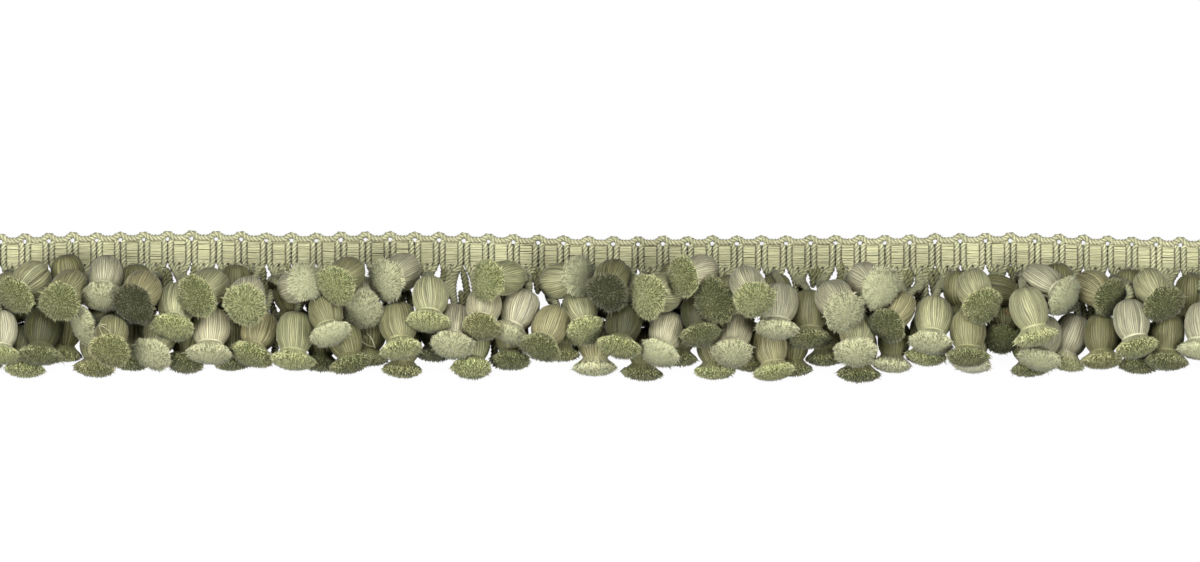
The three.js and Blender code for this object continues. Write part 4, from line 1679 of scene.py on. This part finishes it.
@dataclass
class StrayFibres:
    """The few strands that stick out of the heap."""

    thick: float = 0.24
    points: int = 8
    above: float = 0.4  # how far off the heap its ends are
    arch: float = 0.5  # how much further its middle is
    strays: tuple[Stray, ...] = (
        Stray((-175.0, -25.6), (-170.6, -29.3), 0.6),
        Stray((-175.4, -25.4), (-172.8, -30.0), -0.4, (186, 184, 140)),
        Stray((-174.6, -25.2), (-168.9, -27.9), 0.8),
        Stray((-78.5, -32.8), (-83.2, -29.2), 0.4),
        Stray((-78.9, -33.2), (-84.0, -31.0), 0.6),
        Stray((-79.3, -33.6), (-82.0, -28.3), -0.5, (222, 221, 186)),
        Stray((-110.0, -33.4), (-115.6, -32.5), 0.7, (222, 221, 186)),
        Stray((-109.6, -33.8), (-113.2, -33.9), -0.3),
        Stray((141.2, -20.6), (142.4, -22.3), 0.2, (152, 101, 58)),
    )

    def build(self, shelter: Shelter, rng: np.random.Generator) -> Skein:
        """The fibres.

        Args:
            shelter: the heap that they lie on.
            rng: for their lie.
        Returns:
            Them all.
        """
        skein = Skein()
        t = np.linspace(0, 1, self.points)
        for stray in self.strays:
            a, b = np.array(stray.start), np.array(stray.end)
            across = np.array([a[1] - b[1], b[0] - a[0]]) / np.linalg.norm(b - a)
            bow = np.sin(t * math.pi)
            flat = a + (b - a) * t[:, None] + across * stray.bow * bow[:, None]
            high = np.interp(t, [0, 1], [shelter.top(*place) for place in (a, b)])
            path = np.column_stack([flat, high + self.above + self.arch * bow])
            fat = self.thick * (1 - 0.5 * t)[:, None, None]
            grid = path[:, None] + fat * rings(circle(3), *frames(path))
            skein.tube(grid, linear(*stray.tint), 0.95, grid + rng.uniform(0, 50), left_handed=True)
        return skein


# ---------------------------------------------------------------- the studio


@dataclass
class Studio:
    """A plain white table under soft light, seen from straight above."""

    seen: float = 420.0  # of the trim, from side to side
    middle: tuple[float, float] = (-0.6, -10.15)  # of what is seen
    height: float = 8.0  # of the camera, in metres
    sensor: float = 36.0
    floor: float = 3.0  # the table's side, in metres
    white: float = 0.97  # how much of the floor's look is plain white
    bounce: float = 0.05  # how much light the floor throws back up
    grey: float = 0.66  # how much lighter than that its own colour is to the camera
    air: float = 0.14  # how bright the light from all round is
    lamp_size: float = 0.9
    lamps: tuple[tuple[str, tuple[float, float, float], float], ...] = (
        ("left_lamp", (-1.0, -0.42, 1.55), 31),
        ("right_lamp", (1.1, -0.34, 1.55), 26),
        ("back_lamp", (-0.1, 0.95, 1.6), 29),
    )  # where each hangs, in metres, and its watts

    def camera(self) -> None:
        """The camera, looking straight down."""
        data = bpy.data.cameras.new("camera")
        data.type = "PERSP"
        data.sensor_width = self.sensor
        data.lens = self.sensor * self.height / (self.seen * METRE)
        data.clip_start, data.clip_end = 0.5, 40
        made = bpy.data.objects.new("camera", data)
        made.location = (self.middle[0] * METRE, self.middle[1] * METRE, self.height)
        bpy.context.scene.collection.objects.link(made)
        bpy.context.scene.camera = made

    def lamp(self, name: str, place: tuple[float, float, float], power: float) -> None:
        """One soft square lamp that faces the trim.

        Args:
            name: its name.
            place: where it hangs, in metres.
            power: in watts.
        """
        data = bpy.data.lights.new(name, "AREA")
        data.shape, data.size, data.energy = "SQUARE", self.lamp_size, power
        made = bpy.data.objects.new(name, data)
        made.location = place
        made.rotation_euler = (-Vector(place)).to_track_quat("-Z", "Y").to_euler()
        bpy.context.scene.collection.objects.link(made)

    def table(self) -> None:
        """The floor, white to the camera but for a soft shadow."""
        mesh = bpy.data.meshes.new("floor")
        corners = [(x * self.floor / 2, y * self.floor / 2, -0.0002) for x, y in CORNERS]
        mesh.from_pydata(corners, [], [(0, 1, 2, 3)])
        made = bpy.data.objects.new("floor", mesh)
        bench = Bench("white_floor")
        seen = bench.node("ShaderNodeLightPath", output="Is Camera Ray")
        own = seen * self.grey + self.bounce
        grey = bench.node("ShaderNodeCombineColor", {}, dict.fromkeys(range(3), own))
        plain = bench.node("ShaderNodeBsdfDiffuse", {}, {"Color": grey})
        glow = bench.node("ShaderNodeEmission", {}, {"Color": (1, 1, 1, 1), "Strength": 1.0})
        both = bench.node("ShaderNodeMixShader", {}, {0: seen * self.white, 1: plain, 2: glow})
        bench.node("ShaderNodeOutputMaterial", {}, {"Surface": both})
        mesh.materials.append(bench.material)
        bpy.context.scene.collection.objects.link(made)

    def build(self) -> None:
        """The whole studio."""
        scene = bpy.context.scene
        scene.view_settings.view_transform = "Standard"
        world = bpy.data.worlds.new("world")
        world.use_nodes = True
        background = world.node_tree.nodes["Background"]
        background.inputs["Color"].default_value = (1, 1, 1, 1)
        background.inputs["Strength"].default_value = self.air
        scene.world = world
        for name, place, power in self.lamps:
            self.lamp(name, place, power)
        self.table()
        self.camera()


def main() -> None:
    """Builds the trim piece by piece and sets it in the studio."""
    logging.basicConfig(level=logging.INFO, format="%(name)s: %(message)s")
    floss = Floss("satin_floss").material()
    flat = Floss("block_floss", contrast=0.42, mottle=0.05).material()
    cord = Floss("twisted_cord", lines=2.0, contrast=0.55, roughness=0.6).material()
    pile = CutPile("cut_pile").material()
    tassels = Heap().settle()
    log.info("%d tassels settled", len(tassels))
    shelter = Shelter(tassels)
    uprights, loops = Cords().build(tassels, np.random.default_rng(13))
    for name, yarn, finish in (
        ("floss_blocks", FlossBlocks().build(np.random.default_rng(11)), flat),
        ("picot_edge", PicotEdge().build(np.random.default_rng(12)), cord),
        ("upright_cords", uprights, cord),
        ("hanger_loops", loops, cord),
        ("slack_cords", SlackCords().build(np.random.default_rng(15)), cord),
    ):
        yarn.piece(name, Layer.BACK, [finish], ["heading"], shelter)
    strays = StrayFibres().build(shelter, np.random.default_rng(14))
    strays.piece("stray_fibres", Layer.FRONT, [floss], [solid(Layer.FRONT, 0)])
    for layer, rows in ROWS.items():
        rng = np.random.default_rng(20 + layer.rank)
        bulbs, brushes = Skein(), Skein()
        for tassel in (t for t in tassels if t.layer is layer):
            BulbShape().add(bulbs, tassel, rng)
            NeckWrap().add(bulbs, tassel, rng)
            Brush().add(brushes, tassel, rng)
        stem = layer.name.lower()
        stands_for = list(dict.fromkeys(solid(layer, i) for i in range(len(rows))))
        bulbs.piece(f"{stem}_bulbs", layer, [floss], stands_for, shelter)
        brushes.piece(f"{stem}_brushes", layer, [pile, floss], stands_for, shelter)
    Studio().build()


if __name__ == "__main__":
    main()
